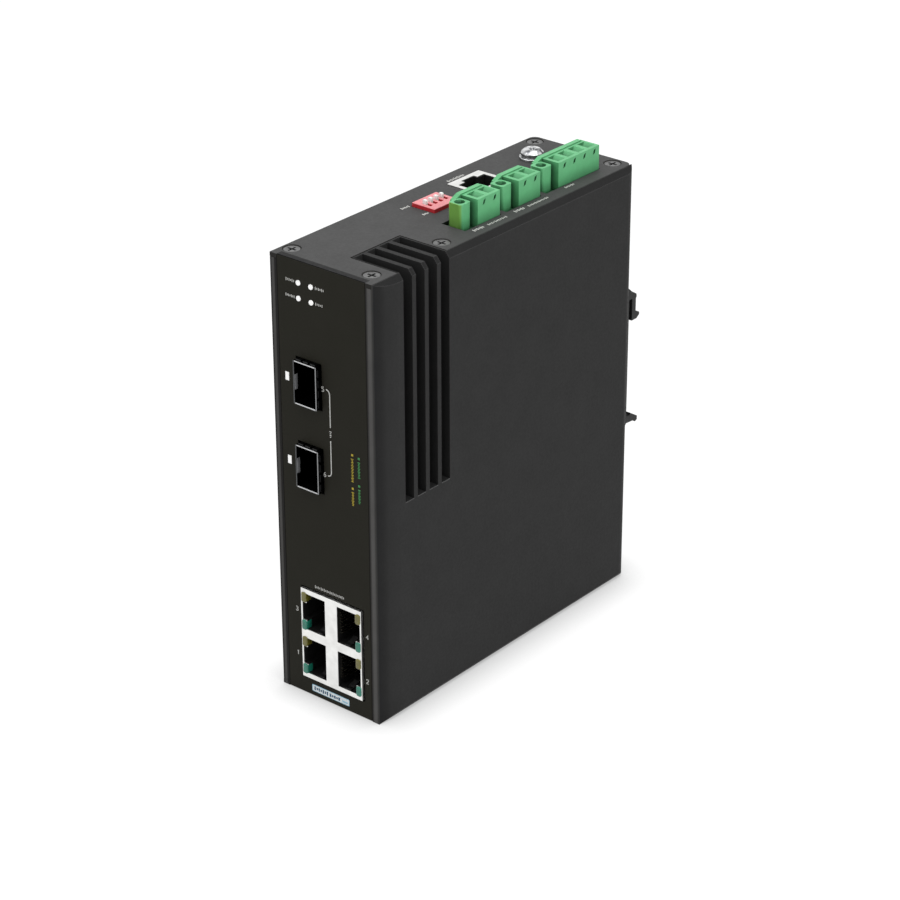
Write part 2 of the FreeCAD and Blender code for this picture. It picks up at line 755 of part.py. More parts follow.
def countersunk(name, at, turn, length):
    """A countersunk screw that points inwards, with its face a little below a point."""
    face = [sized(size) + d.head_sunk * step for size, step in zip(at, WAY[turn])]
    deep = sink_depth - d.head_sunk
    head = sloped_peg(f"{name}_head", face, d.head_radius - 0.3, deep, turn, deep * 0.9)
    shank = peg(f"{name}_shank", face, d.shank_radius, sized(length) - d.head_sunk, turn)
    return crossed(name, fuse(f"{name}_blank", head, shank), face, turn)


def screw_set(label, spots, turn, length):
    """A set of countersunk screws as one piece."""
    screws = [
        countersunk(f"{label}_{number}", at, turn, length)
        for number, at in enumerate(spots, start=1)
    ]
    node(label, group(label, screws))


screw_set("top_screws", TOP_SPOTS, "down", d.screw_length)
screw_set("bottom_screws", BOTTOM_SPOTS, "z", d.foot_screw)

# Boards and what stands on them
board_rear = d.depth - d.board_back
board_top = d.height - d.board_high
console_low = d.height - d.console_length
STANDOFFS = [
    (d.board_front + 5, jack_top + 8),
    (d.board_front + 5, board_top - 19),
    (board_rear - 7, d.board_low + 11),
    (board_rear - 7, board_top - 19),
]
board = new_body("board_blank")
board_shape = [
    (d.board_front, d.board_low), (board_rear, d.board_low), (board_rear, board_top),
    (console_back + 0.3, board_top), (console_back + 0.3, console_low - 0.3),
    (console_front - 0.3, console_low - 0.3), (console_front - 0.3, board_top),
    (d.board_front, board_top),
]
board_left = d.board_face - d.board_gauge
extrude(board, "Pad", "main_sheet", "yz", board_left, d.board_gauge, board_shape)
board_holes = [
    peg(f"board_hole_{number}", (board_left, y, z), d.shank_radius, d.board_gauge, "x")
    for number, (y, z) in enumerate(STANDOFFS, start=1)
]
node("main_board", cut("main_board", board, *board_holes))

standoffs = []
board_screws = []
for number, (y, z) in enumerate(STANDOFFS, start=1):
    name = f"standoff_{number}"
    tall = board_left - d.strip
    post = peg(f"{name}_post", (d.strip, y, z), 3, tall, "x", 6)
    bore = peg(f"{name}_bore", (d.strip, y, z), d.shank_radius, tall, "x")
    standoffs.append(cut(name, post, bore))
    head = peg(f"board_screw_head_{number}", (d.board_face, y, z), 2.6, 1.8, "x")
    shank_start = (d.strip + 1, y, z)
    shank_length = d.board_face - d.strip
    shank = peg(f"board_screw_shank_{number}", shank_start, d.shank_radius, shank_length, "x")
    board_screws.append(fuse(f"board_screw_{number}", head, shank))
node("board_standoffs", group("board_standoffs", standoffs))
node("board_screws", group("board_screws", board_screws))

power = new_body("power_board")
power_shape = rectangle((d.power_front, board_rear), (d.power_low, board_top - 4))
power_left = d.power_face - d.board_gauge
extrude(power, "Pad", "power_sheet", "yz", power_left, d.board_gauge, power_shape)
node("power_board", power)
link_along = (d.depth * 0.5 - 1, d.depth * 0.5 + 19)
node("board_link", box("board_link", (d.board_face, power_left), link_along, (66, 71)))

chip_right = d.board_face + 1.6
node("switch_chip", box("switch_chip", (d.board_face, chip_right), (50, 70), (38, 58)))
sink = new_body("chip_sink")
extrude(sink, "Pad", "sink_blank", "yz", chip_right, 8, rectangle((51, 69), (39, 57)))
groove = rectangle((chip_right + 2, chip_right + 9), (52.2, 54.4))
gap = extrude(sink, "Pocket", "sink_groove", "xy", 38, 20, groove)
repeat(sink, gap, "sink_grooves", sized(3.6), 5)
node("chip_sink", sink)
coil_along = (d.power_front + 7, d.power_front + 19)
node("power_coil", box("power_coil", (d.power_face, d.power_face + 7), coil_along, (86, 98)))
relay_spans = (board_rear - 21, board_rear - 6), (98, 118)
node("relay", box("relay", (d.power_face, d.power_face + 10), *relay_spans))
cans = [
    peg(f"capacitor_{number}", (d.power_face, d.power_front + 31, z), 4, 11, "x")
    for number, z in enumerate((76, 88, 100), start=1)
]
node("capacitors", group("capacitors", cans))

# Module cages
cage_right = d.cage_left + d.cage_high
for level, middle in CAGES.items():
    cage = new_body(f"sfp_cage_{level}")
    low, high = middle - d.cage_wide * 0.5, middle + d.cage_wide * 0.5
    mouth = -d.cage_reach
    shell = rectangle((d.cage_left, cage_right), (low, high))
    extrude(cage, "Pad", f"cage_{level}_shell", "xz", mouth, d.cage_length, shell)
    sheet_gauge = d.cage_sheet
    hollow = rectangle(
        (d.cage_left + sheet_gauge, cage_right - sheet_gauge),
        (low + sheet_gauge, high - sheet_gauge),
    )
    extrude(cage, "Pocket", f"cage_{level}_hollow", "xz", mouth, d.cage_length - sheet_gauge, hollow)
    fingers = []
    for step in (-1.5, -0.5, 0.5, 1.5):
        centre = middle + d.cage_wide * (step * 0.235)
        along = (centre - 1.2, centre + 1.2)
        fingers.append(rectangle((d.cage_left - d.finger_flare, d.cage_left + 0.2), along))
        fingers.append(rectangle((cage_right - 0.2, cage_right + d.finger_flare), along))
    for step in (-1, 0, 1):
        centre = d.cage_left + d.cage_high * (0.5 + step * 0.31)
        across = (centre - 1.0, centre + 1.0)
        fingers.append(rectangle(across, (low - d.finger_flare, low + 0.2)))
        fingers.append(rectangle(across, (high - 0.2, high + d.finger_flare)))
    extrude(cage, "Pad", f"cage_{level}_fingers", "xz", d.cage_reach * -0.75, 1.6, *fingers)
    feet = [
        rectangle((y, y + 1), (middle + z, middle + z + 0.8))
        for y in (14, 38) for z in (-6, 5.2)
    ]
    foot = d.cage_left - d.board_face + 0.2
    extrude(cage, "Pad", f"cage_{level}_feet", "yz", d.board_face, foot, *feet)
    node(f"sfp_cage_{level}", cage)
    floor = d.cage_left + d.cage_sheet
    back = d.cage_length - d.cage_reach - d.cage_sheet
    name = f"sfp_socket_{level}"
    housing = box(f"{name}_block", (floor, floor + 6.4), (back - 9, back), (middle - 5.4, middle + 5.4))
    slit_spans = (floor + 2.4, floor + 3.8), (back - 9, back - 2), (middle - 4.6, middle + 4.6)
    node(name, cut(name, housing, box(f"{name}_slit", *slit_spans)))
pads = [
    box(f"gap_pad_{level}", (cage_right, d.slot_root - d.pocket_wall), (d.slot_start, slot_end),
        (middle - 5, middle + 5))
    for level, middle in CAGES.items()
]
node("gap_pads", group("gap_pads", pads))

# Socket block with two columns of two sockets
PORTS = []
for row in (-0.5, 0.5):
    centre = d.jack_middle + d.port_pitch * row
    near = d.board_face + d.port_inset
    far = jack_right - d.port_inset
    PORTS.append({"centre": centre, "edge": near, "root": near + d.port_high, "side": 1})
    PORTS.append({"centre": centre, "edge": far, "root": far - d.port_high, "side": -1})


def port_outline(port):
    """Socket mouth with the latch recess on its outer side."""
    half, latch = d.port_wide * 0.5, d.latch_wide * 0.5
    recess = port["edge"] - d.latch_high * port["side"]
    middle = port["centre"]
    return [
        (port["edge"], middle - half), (port["root"], middle - half),
        (port["root"], middle + half), (port["edge"], middle + half),
        (port["edge"], middle + latch), (recess, middle + latch),
        (recess, middle - latch), (port["edge"], middle - latch),
    ]


def window_spans(port, upper):
    """Ranges of a light window in an outer corner of a socket."""
    edges = (port["edge"], port["edge"] - d.window_high * port["side"])
    across = sorted(edges, key=lambda size: size.value)
    half = d.port_wide * 0.5
    if upper:
        return across, (port["centre"] + half - d.window_wide, port["centre"] + half)
    return across, (port["centre"] - half, port["centre"] - half + d.window_wide)


port_loops = [port_outline(port) for port in PORTS]
window_loops = [
    rectangle(*window_spans(port, upper)) for port in PORTS for upper in (False, True)
]
jack_front = -d.jack_reach
insert_front = jack_front + d.cage_sheet
insert_length = d.jack_length - d.cage_sheet
insert_face = rectangle(
    (d.board_face + d.cage_sheet, jack_right - d.cage_sheet),
    (jack_low + d.cage_sheet, jack_top - d.cage_sheet),
)
shield = new_body("jack_shield")
shield_face = rectangle((d.board_face, jack_right), (jack_low, jack_top))
extrude(shield, "Pad", "shield_shell", "xz", jack_front, d.jack_length, shield_face)
extrude(shield, "Pocket", "shield_hollow", "xz", insert_front, insert_length, insert_face)
extrude(shield, "Pocket", "shield_mouths", "xz", jack_front, d.cage_sheet, *port_loops)
extrude(shield, "Pocket", "shield_windows", "xz", jack_front, d.cage_sheet, *window_loops)
node("jack_shield", shield)
insert = new_body("jack_body")
extrude(insert, "Pad", "insert_block", "xz", insert_front, insert_length, insert_face)
extrude(insert, "Pocket", "insert_mouths", "xz", insert_front, d.port_depth, *port_loops)
extrude(insert, "Pocket", "insert_windows", "xz", insert_front, d.window_deep, *window_loops)
node("jack_body", insert)


def leaned_bar(name, at, size, axis, angle):
    """A thin bar leaned about an axis."""
    bar = doc.addObject("Part::Box", name)
    for side, length in zip(("Length", "Width", "Height"), size):
        bind(bar, side, length)
    put(bar, *at)
    bar.Placement = FreeCAD.Placement(FreeCAD.Vector(), FreeCAD.Rotation(axis, angle))
    return bar


WIRE = 0.35
wires = []
for number, port in enumerate(PORTS, start=1):
    for step in range(8):
        start = port["root"] - 0.33 if port["side"] > 0 else port["root"]
        at = (start, 0.9, port["centre"] + (step - 3.5) * 1.02 - WIRE / 2)
        lean = 10 * port["side"]
        up = FreeCAD.Vector(0, 0, 1)
        wires.append(leaned_bar(f"wire_{number}_{step}", at, (WIRE, 8, WIRE), up, lean))
node("jack_contacts", group("jack_contacts", wires))
for label, upper in (("yellow_windows", True), ("green_windows", False)):
    panes = []
    for number, port in enumerate(PORTS, start=1):
        across, along = window_spans(port, upper)
        panes.append(box(f"{label}_{number}", across, (jack_front, insert_front + d.window_deep), along))
    node(label, group(label, panes))

status = [
    peg(f"status_pipe_{number}", (x, -0.3, z), d.light_radius, d.light_length, "y")
    for number, (x, z) in enumerate(LIGHTS, start=1)
]
node("status_pipes", group("status_pipes", status))
links = [
    box(f"sfp_pipe_{number}", x, (-0.15, d.light_length), z)
    for number, (x, z) in enumerate(LINKS, start=1)
]
node("sfp_pipes", group("sfp_pipes", links))

# Console socket, mouth upwards
console_top = d.height + d.console_rise
console_face = rectangle((d.console_left, console_right), (console_front, console_back))
console_core = rectangle(
    (d.console_left + d.cage_sheet, console_right - d.cage_sheet),
    (console_front + d.cage_sheet, console_back - d.cage_sheet),
)
console_root = console_right - d.port_inset * 0.6
console_edge = console_root - d.port_high
console_recess = console_edge - d.latch_high
console_mouth = [
    (console_root, d.console_middle - d.port_wide * 0.5),
    (console_root, d.console_middle + d.port_wide * 0.5),
    (console_edge, d.console_middle + d.port_wide * 0.5),
    (console_edge, d.console_middle + d.latch_wide * 0.5),
    (console_recess, d.console_middle + d.latch_wide * 0.5),
    (console_recess, d.console_middle - d.latch_wide * 0.5),
    (console_edge, d.console_middle - d.latch_wide * 0.5),
    (console_edge, d.console_middle - d.port_wide * 0.5),
]
core_length = d.console_length + d.console_rise - d.cage_sheet
console = new_body("console_shield")
extrude(console, "Pad", "console_shell", "xy", console_low, d.console_length + d.console_rise, console_face)
extrude(console, "Pocket", "console_hollow", "xy", console_low, core_length, console_core)
extrude(console, "Pocket", "console_mouth", "xy", console_top - d.cage_sheet, d.cage_sheet, console_mouth)
node("console_shield", console)
core = new_body("console_body")
extrude(core, "Pad", "core_block", "xy", console_low, core_length, console_core)
core_top = console_top - d.cage_sheet
extrude(core, "Pocket", "core_mouth", "xy", core_top - d.port_depth, d.port_depth, console_mouth)
node("console_body", core)
prongs = []
for step in range(8):
    at = (console_root - WIRE, d.console_middle + (step - 3.5) * 1.02 - WIRE / 2, console_top - 9)
    prongs.append(leaned_bar(f"prong_{step}", at, (WIRE, WIRE, 8), FreeCAD.Vector(0, 1, 0), 0))
node("console_contacts", group("console_contacts", prongs))

# Switch bank
bank_top = d.height + d.dip_rise
slot_deep = 1.0
slot_half = (d.dip_travel + d.slider_long) * 0.5 + 0.1
bank_middle = d.board_face + d.dip_wide * 0.5
first_slider = d.dip_middle - d.dip_pitch * 1.5
bank = new_body("dip_body")
bank_plan = rectangle((d.board_face, dip_right), (dip_front, dip_back))
extrude(bank, "Pad", "bank_block", "xy", d.height - d.dip_depth, d.dip_depth + d.dip_rise, bank_plan)
track = rectangle(
    (bank_middle - slot_half, bank_middle + slot_half),
    (first_slider - d.slider_wide * 0.5 - 0.1, first_slider + d.slider_wide * 0.5 + 0.1),
)
trench = extrude(bank, "Pocket", "track", "xy", bank_top - slot_deep, slot_deep, track)
repeat(bank, trench, "tracks", d.dip_pitch, 4)
node("dip_body", bank)
for number in range(4):
    slider = new_body(f"dip_slider_{number + 1}")
    near = bank_middle - slot_half + 0.1
    far = near + d.slider_long
    foot = bank_top - slot_deep
    knob = bank_top + d.slider_rise
    shape = [
        (near, foot), (far, foot), (far, knob - 0.35), (far - 0.2, knob),
        (near + 0.2, knob), (near, knob - 0.35),
    ]
    start = first_slider + d.dip_pitch * number - d.slider_wide * 0.5
    extrude(slider, "Pad", f"slider_{number + 1}", "xz", start, d.slider_wide, shape)
    node(f"dip_slider_{number + 1}", slider)

# Terminal plugs and their sockets
clamp_screws = []
flange_screws = []
pins = []
for number, spec in enumerate(PLUGS, start=1):
    start, end, hole, poles = spec["start"], spec["end"], spec["flange"], spec["poles"]
    first_pole = start + d.pole_pitch * 0.5 + 0.25
    plug_top = d.height + d.plug_rise
    flange_top = d.height + d.flange_rise
    plug = new_body(f"plug_{number}")
    plan = rectangle((d.plug_left, d.plug_right), (start, end))
    extrude(plug, "Pad", f"plug_{number}_block", "xy", under_top, plug_top - under_top, plan)
    half = d.flange_wide * 0.5
    column_left = d.plug_left + d.flange_inset
    column = rectangle((column_left, column_left + d.flange_across), (hole - half, hole + half))
    extrude(plug, "Pad", f"plug_{number}_column", "xy", under_top, flange_top - under_top, column)
    round_edges(
        plug, f"plug_{number}_rounds", 0.9,
        lambda edge, middle, y=hole.value: upright(edge) and middle.y < y + 3 and middle.z > d.height.value,
    )
    web = rectangle((column_left + 0.2, d.plug_left + 4), (hole + half - 0.5, start + 0.5))
    extrude(plug, "Pad", f"plug_{number}_web", "xy", under_top, flange_top - 0.6 - under_top, web)
    ridge = [
        (hole + 0.4, under_top), (end, under_top), (end, plug_top - 1.6),
        (end - 0.8, plug_top - 1.6), (end - 0.8, plug_top + 0.3), (start - 0.2, plug_top + 0.3),
        (hole + 0.4, flange_top - 0.4),
    ]
    extrude(plug, "Pad", f"plug_{number}_ridge", "yz", d.plug_left - 0.8, 1.7, ridge)
    tongue = rectangle((d.plug_left + 1, d.plug_right - 1.4), (start + 0.6, end - 0.6))
    tongue_low = d.height - d.tongue_depth
    extrude(plug, "Pad", f"plug_{number}_tongue", "xy", tongue_low, under_top - tongue_low, tongue)
    funnel = [
        (first_pole - 1.5, plug_top), (first_pole - 1.5, plug_top - 2.2),
        (first_pole + 0.2, plug_top - 1.6), (first_pole + 2, plug_top),
    ]
    mouth = extrude(plug, "Pocket", f"plug_{number}_mouth", "yz", d.plug_left + 1.9, 4.3, funnel)
    repeat(plug, mouth, f"plug_{number}_mouths", d.pole_pitch, poles)
    notch_shape = [
        (first_pole - 0.45, plug_top - 2.5), (first_pole + 0.6, plug_top - 2.1),
        (first_pole + 1.0, plug_top - 0.6), (first_pole, plug_top - 1.0),
    ]
    notch = extrude(plug, "Pocket", f"plug_{number}_notch", "yz", d.plug_right - 1.1, 1.1, notch_shape)
    repeat(plug, notch, f"plug_{number}_notches", d.pole_pitch, poles)
    clamp_height = d.height + d.plug_rise * 0.4
    bore = extrude(plug, "Pocket", f"plug_{number}_bore", "yz", d.plug_left - 0.8, 3.1,
                   facets(first_pole, clamp_height, 1.6))
    repeat(plug, bore, f"plug_{number}_bores", d.pole_pitch, poles)
    receptacle = rectangle((d.plug_left + 3.2, d.plug_left + 4.2), (first_pole - 0.5, first_pole + 0.5))
    pin_low = tongue_low - 0.2
    pinhole = extrude(plug, "Pocket", f"plug_{number}_pinhole", "xy", pin_low, 6, receptacle)
    repeat(plug, pinhole, f"plug_{number}_pinholes", d.pole_pitch, poles)
    shelf = d.height + d.flange_rise * 0.3
    across = column_left + d.flange_across * 0.5
    mouth_ring = facets(across, hole, d.flange_hole, HEAD_SIDES)
    shaft_ring = facets(across, hole, 1.1)
    extrude(plug, "Pocket", f"plug_{number}_hole", "xy", shelf, flange_top - shelf, mouth_ring)
    extrude(plug, "Pocket", f"plug_{number}_shaft", "xy", under_top, shelf - under_top, shaft_ring)
    node(f"plug_{number}", plug)

    header = new_body(f"header_{number}")
    header_low = d.height - d.header_depth
    header_plan = rectangle((d.power_face, header_right), (hole - half, end + 0.2))
    extrude(header, "Pad", f"header_{number}_block", "xy", header_low, under_top - header_low, header_plan)
    cavity = rectangle((d.plug_left + 0.8, d.plug_right - 1.2), (start + 0.4, end - 0.4))
    extrude(header, "Pocket", f"header_{number}_cavity", "xy", pin_low, under_top - pin_low, cavity)
    extrude(header, "Pocket", f"header_{number}_thread", "xy", under_top - 7, 7, facets(across, hole, 1.1))
    node(f"header_{number}", header)

    screw = f"flange_screw_{number}"
    at = (across, hole, shelf)
    screw_head = peg(f"{screw}_head", at, d.flange_hole - 0.1, 2, "z", HEAD_SIDES)
    screw_shank = peg(f"{screw}_shank", at, 1.1, shelf - under_top + 7, "down")
    slot_spans = (across - 2, across + 2), (hole - 0.3, hole + 0.3), (shelf + 1.2, shelf + 2)
    driver = box(f"{screw}_slot", *slot_spans)
    flange_screws.append(cut(screw, fuse(f"{screw}_blank", screw_head, screw_shank), driver))
    for pole in range(poles):
        along = first_pole + d.pole_pitch * pole
        name = f"clamp_{number}_{pole}"
        inset = d.plug_left - 0.3
        body_of_screw = peg(f"{name}_screw", (inset, along, clamp_height), 1.5, 2.6, "x")
        saw_height = (clamp_height - 0.25, clamp_height + 0.25)
        saw = box(f"{name}_slot", (inset, inset + 0.7), (along - 2, along + 2), saw_height)
        clamp_screws.append(cut(name, body_of_screw, saw))
        pins.append(box(
            f"pin_{number}_{pole}", (d.plug_left + 3.25, d.plug_left + 4.15),
            (along - 0.45, along + 0.45), (pin_low, pin_low + 5.8)))
node("flange_screws", group("flange_screws", flange_screws))
node("clamp_screws", group("clamp_screws", clamp_screws))
node("header_pins", group("header_pins", pins))

# Ground terminal
washer_top = d.height + 0.9
disc = peg("washer_disc", (*ground, d.height), 4.2, 0.9, "z", HEAD_SIDES)
eye = peg("washer_eye", (*ground, d.height), d.ground_radius, 0.9)
node("ground_washer", cut("ground_washer", disc, eye))
dome = sloped_peg("ground_dome", (*ground, washer_top), 3.7, 2.4, "z", 1.0)
stud = peg("ground_stud", (*ground, washer_top), d.ground_radius, 7, "down")
ground_blank = fuse("ground_blank", dome, stud)
node("ground_screw", crossed("ground_screw", ground_blank, (*ground, washer_top + 2.4), "down"))
hexagon = peg("nut_hexagon", (*ground, under_top - 3.2), 4, 3.2, "z", 6)
nut_bore = peg("nut_bore", (*ground, under_top - 3.2), d.ground_radius, 3.2)
node("ground_nut", cut("ground_nut", hexagon, nut_bore))

# Rail bracket, its spring and screws
bracket = new_body("din_clip_blank")
rear_face = d.depth
bed = rear_face + d.clip_gauge
lip = bed + d.rail_gap
roof = d.rail_seat + d.rail_high + 7.2
hook_end = d.rail_seat + d.rail_high - 0.6
bracket_profile = [
    (rear_face, d.rail_seat - 9), (rear_face, roof + 5), (rear_face + 1.8, roof + 5),
    (lip, roof + 2.6), (lip + 2.3, roof + 1.2), (lip + 2.5, roof + 0.2), (lip + 2.1, roof - 0.5),
    (lip + 2.1, roof - 4.8), (lip + 4.1, roof - 5.9), (lip + 4.1, roof - 6.8),
    (lip + 2.6, hook_end), (lip, hook_end), (lip, roof), (bed, roof),
    (bed, d.rail_seat), (lip + 0.2, d.rail_seat), (lip + 0.5, d.rail_seat + 0.8),
    (lip + 4.5, d.rail_seat - 1.7), (lip + 4.5, d.rail_seat - 3.1), (lip + 3.4, d.rail_seat - 3.5),
    (lip + 2, d.rail_seat - 2.7), (bed, d.rail_seat - 2.4), (rear_face + 2, d.rail_seat - 3.6),
    (rear_face + 2, d.rail_seat - 9),
]
bracket_left = clip_middle - d.clip_wide * 0.5
extrude(bracket, "Pad", "bracket", "yz", bracket_left, d.clip_wide, bracket_profile)
CLIP_SPOTS = [(x, bed, z) for x, z in CLIP_SCREWS]
bracket_tools = sunk_holes("bracket", CLIP_SPOTS, "forward", d.clip_gauge)
node("din_clip", cut("din_clip", bracket, *bracket_tools))
screw_set("clip_screws", CLIP_SPOTS, "forward", d.clip_gauge + d.panel_gauge)
bend = 29.7
strip_half = 0.6
spring_low = roof - 3.6
centre = (clip_middle, bed + d.rail_gap * 0.5 - strip_half, spring_low + bend)
outside = cylinder("spring_outside", centre, bend + strip_half, strip_half * 2, "y")
inside = cylinder("spring_inside", centre, bend - strip_half, strip_half * 2, "y")
window = box(
    "spring_window", (clip_middle - 13, clip_middle + 13), (bed, lip), (spring_low - 2, roof - 0.05))
spring = doc.addObject("Part::Common", "din_spring")
spring.Base = cut("spring_ring", outside, inside)
spring.Tool = window
node("din_spring", spring)

doc.recompute()
for piece in doc.Objects:
    if "Invalid" in piece.State or "Error" in piece.State:
        raise RuntimeError(f"{piece.Name} did not build: {piece.State}")
os.makedirs("parts", exist_ok=True)
for piece in nodes:
    if piece.Shape.isNull() or not piece.Shape.isValid():
        raise RuntimeError(f"{piece.Label} has no valid shape")
    piece.Shape.exportStep(f"parts/{piece.Label}.step")
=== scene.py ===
import math
from itertools import product

import bmesh
import bpy
from mathutils import Matrix, Vector


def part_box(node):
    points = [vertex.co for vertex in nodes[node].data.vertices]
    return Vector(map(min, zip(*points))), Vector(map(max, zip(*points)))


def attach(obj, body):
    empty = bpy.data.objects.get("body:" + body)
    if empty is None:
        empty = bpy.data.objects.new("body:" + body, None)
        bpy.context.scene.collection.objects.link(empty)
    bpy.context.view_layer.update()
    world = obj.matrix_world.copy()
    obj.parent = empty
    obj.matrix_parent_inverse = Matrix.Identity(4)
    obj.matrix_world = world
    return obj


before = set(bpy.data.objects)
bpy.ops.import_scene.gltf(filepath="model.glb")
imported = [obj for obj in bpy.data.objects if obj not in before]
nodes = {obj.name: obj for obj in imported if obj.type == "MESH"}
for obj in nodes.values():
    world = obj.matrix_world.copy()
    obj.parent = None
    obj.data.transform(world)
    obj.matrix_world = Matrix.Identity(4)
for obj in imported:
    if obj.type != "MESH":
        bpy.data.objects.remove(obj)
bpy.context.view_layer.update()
scene = bpy.context.scene
MM = 0.001

# Ink stands this far proud of what carries it
INK = 0.05 * MM
# A module cage is made of sheet this thick, and its fingers flare this far from its walls
SHEET = 0.4 * MM
FLARE = 0.5 * MM
# Nearly all values of a noise texture lie between these two
NOISE_LOW, NOISE_HIGH = 0.3, 0.7
# Rays that a shader sends out to see how open a place is, and how near an edge
SKY_RAYS, EDGE_RAYS = 8, 6
# The sockets of a node that mixes two colours
FIRST, SECOND, MIXED = 6, 7, 2


def srgb(code):
    """A hex colour as the linear values that a shader takes."""
    parts = [int(code[start:start + 2], 16) / 255 for start in (1, 3, 5)]
    linear = [part / 12.92 if part <= 0.04045 else ((part + 0.055) / 1.055) ** 2.4 for part in parts]
    return (*linear, 1.0)


def add(tree, kind, sockets, **settings):
    """One shader node with its settings; each socket takes a value or another node's output."""
    made = tree.nodes.new("ShaderNode" + kind)
    for name, value in settings.items():
        setattr(made, name, value)
    for name, value in sockets.items():
        if isinstance(value, bpy.types.NodeSocket):
            tree.links.new(value, made.inputs[name])
        else:
            made.inputs[name].default_value = value
    return made


def finish(name, rough, metallic=0.0, level=0.5):
    """A new material, its node tree and its shader with the values that are the same all over."""
    material = bpy.data.materials.new(name)
    material.use_nodes = True
    tree = material.node_tree
    shader = tree.nodes["Principled BSDF"]
    shader.inputs["Roughness"].default_value = rough
    shader.inputs["Metallic"].default_value = metallic
    shader.inputs["Specular IOR Level"].default_value = level
    return material, tree, shader


def patchy(tree, width_mm, detail, stretch=(1, 1, 1)):
    """Soft noise in patches of a real width, in the frame's own directions."""
    place = add(tree, "TexCoord", {})
    turned = add(tree, "Mapping", {"Vector": place.outputs["Object"], "Scale": stretch})
    patches = add(
        tree, "TexNoise",
        {"Vector": turned.outputs["Vector"], "Scale": 1 / (width_mm * MM), "Detail": detail},
    )
    return patches.outputs["Fac"]


def shaded(tree, share, stops):
    """Shades along a share from 0 to 1, with a stop for each place and colour."""
    shades = add(tree, "ValToRGB", {"Fac": share})
    steps = shades.color_ramp.elements
    for index, (position, code) in enumerate(stops):
        step = steps[index] if index < 2 else steps.new(position)
        step.position = position
        step.color = srgb(code)
    return shades.outputs["Color"]


def mixed(tree, share, first, second, way="MIX"):
    """Two colours mixed by a share, or laid over each other in another way."""
    both = add(
        tree, "Mix", {"Factor": share, FIRST: first, SECOND: second}, data_type="RGBA", blend_type=way,
    )
    return both.outputs[MIXED]


def mottle(tree, width_mm, dark, light, detail=3.0):
    """A colour that wanders between two shades in patches of a real width."""
    return shaded(tree, patchy(tree, width_mm, detail), ((NOISE_LOW, dark), (NOISE_HIGH, light)))


def relief(tree, shader, width_mm, height_mm, rough, stretch=(1, 1, 1)):
    """A fine relief of a real width and height, and a roughness that goes with it."""
    # Marks finer than about 0.5 mm come in a few times wider than they are, so that they show
    grain = patchy(tree, width_mm, detail=2.0, stretch=stretch)
    bump = add(tree, "Bump", {"Height": grain, "Strength": 1.0, "Distance": height_mm * MM})
    tree.links.new(bump.outputs["Normal"], shader.inputs["Normal"])
    smoothest, roughest = rough
    spread = add(
        tree, "MapRange",
        {"Value": grain, "From Min": NOISE_LOW, "From Max": NOISE_HIGH,
         "To Min": smoothest, "To Max": roughest},
    )
    tree.links.new(spread.outputs["Result"], shader.inputs["Roughness"])


def coloured(tree, shader, colour):
    """Give a shader its base colour from a node."""
    tree.links.new(colour, shader.inputs["Base Color"])


def graded(tree, axis, start, end, stops):
    """Shades laid out along one direction of the frame, between two places in metres."""
    place = add(tree, "TexCoord", {})
    parts = add(tree, "SeparateXYZ", {"Vector": place.outputs["Object"]})
    share = add(tree, "MapRange", {"Value": parts.outputs[axis], "From Min": start, "From Max": end})
    return shaded(tree, share.outputs["Result"], stops)


def clouded(tree, colour, width_mm):
    """The same colour with patches of a real width that are a touch darker."""
    return mixed(tree, 1.0, colour, mottle(tree, width_mm, "#f0f0f0", "#ffffff"), "MULTIPLY")


def crease_shaded(tree, colour, reach_mm, least):
    """The same colour with painted shade, deeper in corners and slots that are closer than a reach."""
    open_sky = add(tree, "AmbientOcclusion", {"Distance": reach_mm * MM}, samples=SKY_RAYS)
    share = add(tree, "MapRange", {"Value": open_sky.outputs["AO"], "To Min": least, "To Max": 1.0})
    return mixed(tree, 1.0, colour, share.outputs["Result"], "MULTIPLY")


def powder_peel(tree, shader):
    """The orange peel that baked powder keeps from its melt."""
    # Peel is about 0.5 mm wide; drawn at 0.9 mm so that it shows at this size
    relief(tree, shader, width_mm=0.9, height_mm=0.012, rough=(0.5, 0.62))


def plate_coat():
    """Polyester powder baked on sheet, matt: its top face painted pale as lit from above, its cut edges
    painted dark as shade.
    """
    material, tree, shader = finish("powder_coat_on_sheet_painted_top_light", 0.55, level=0.1)
    top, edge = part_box("top_plate")[1].z, 0.5 * MM
    # Painted light and shade: pale on the top face, dark on the cut edges and on everything below the top
    stops = (0.0, "#2b2a28"), (0.8, "#2b2a28"), (0.95, "#494949")
    coloured(tree, shader, clouded(tree, graded(tree, "Z", top - edge, top, stops), width_mm=8))
    powder_peel(tree, shader)
    return material


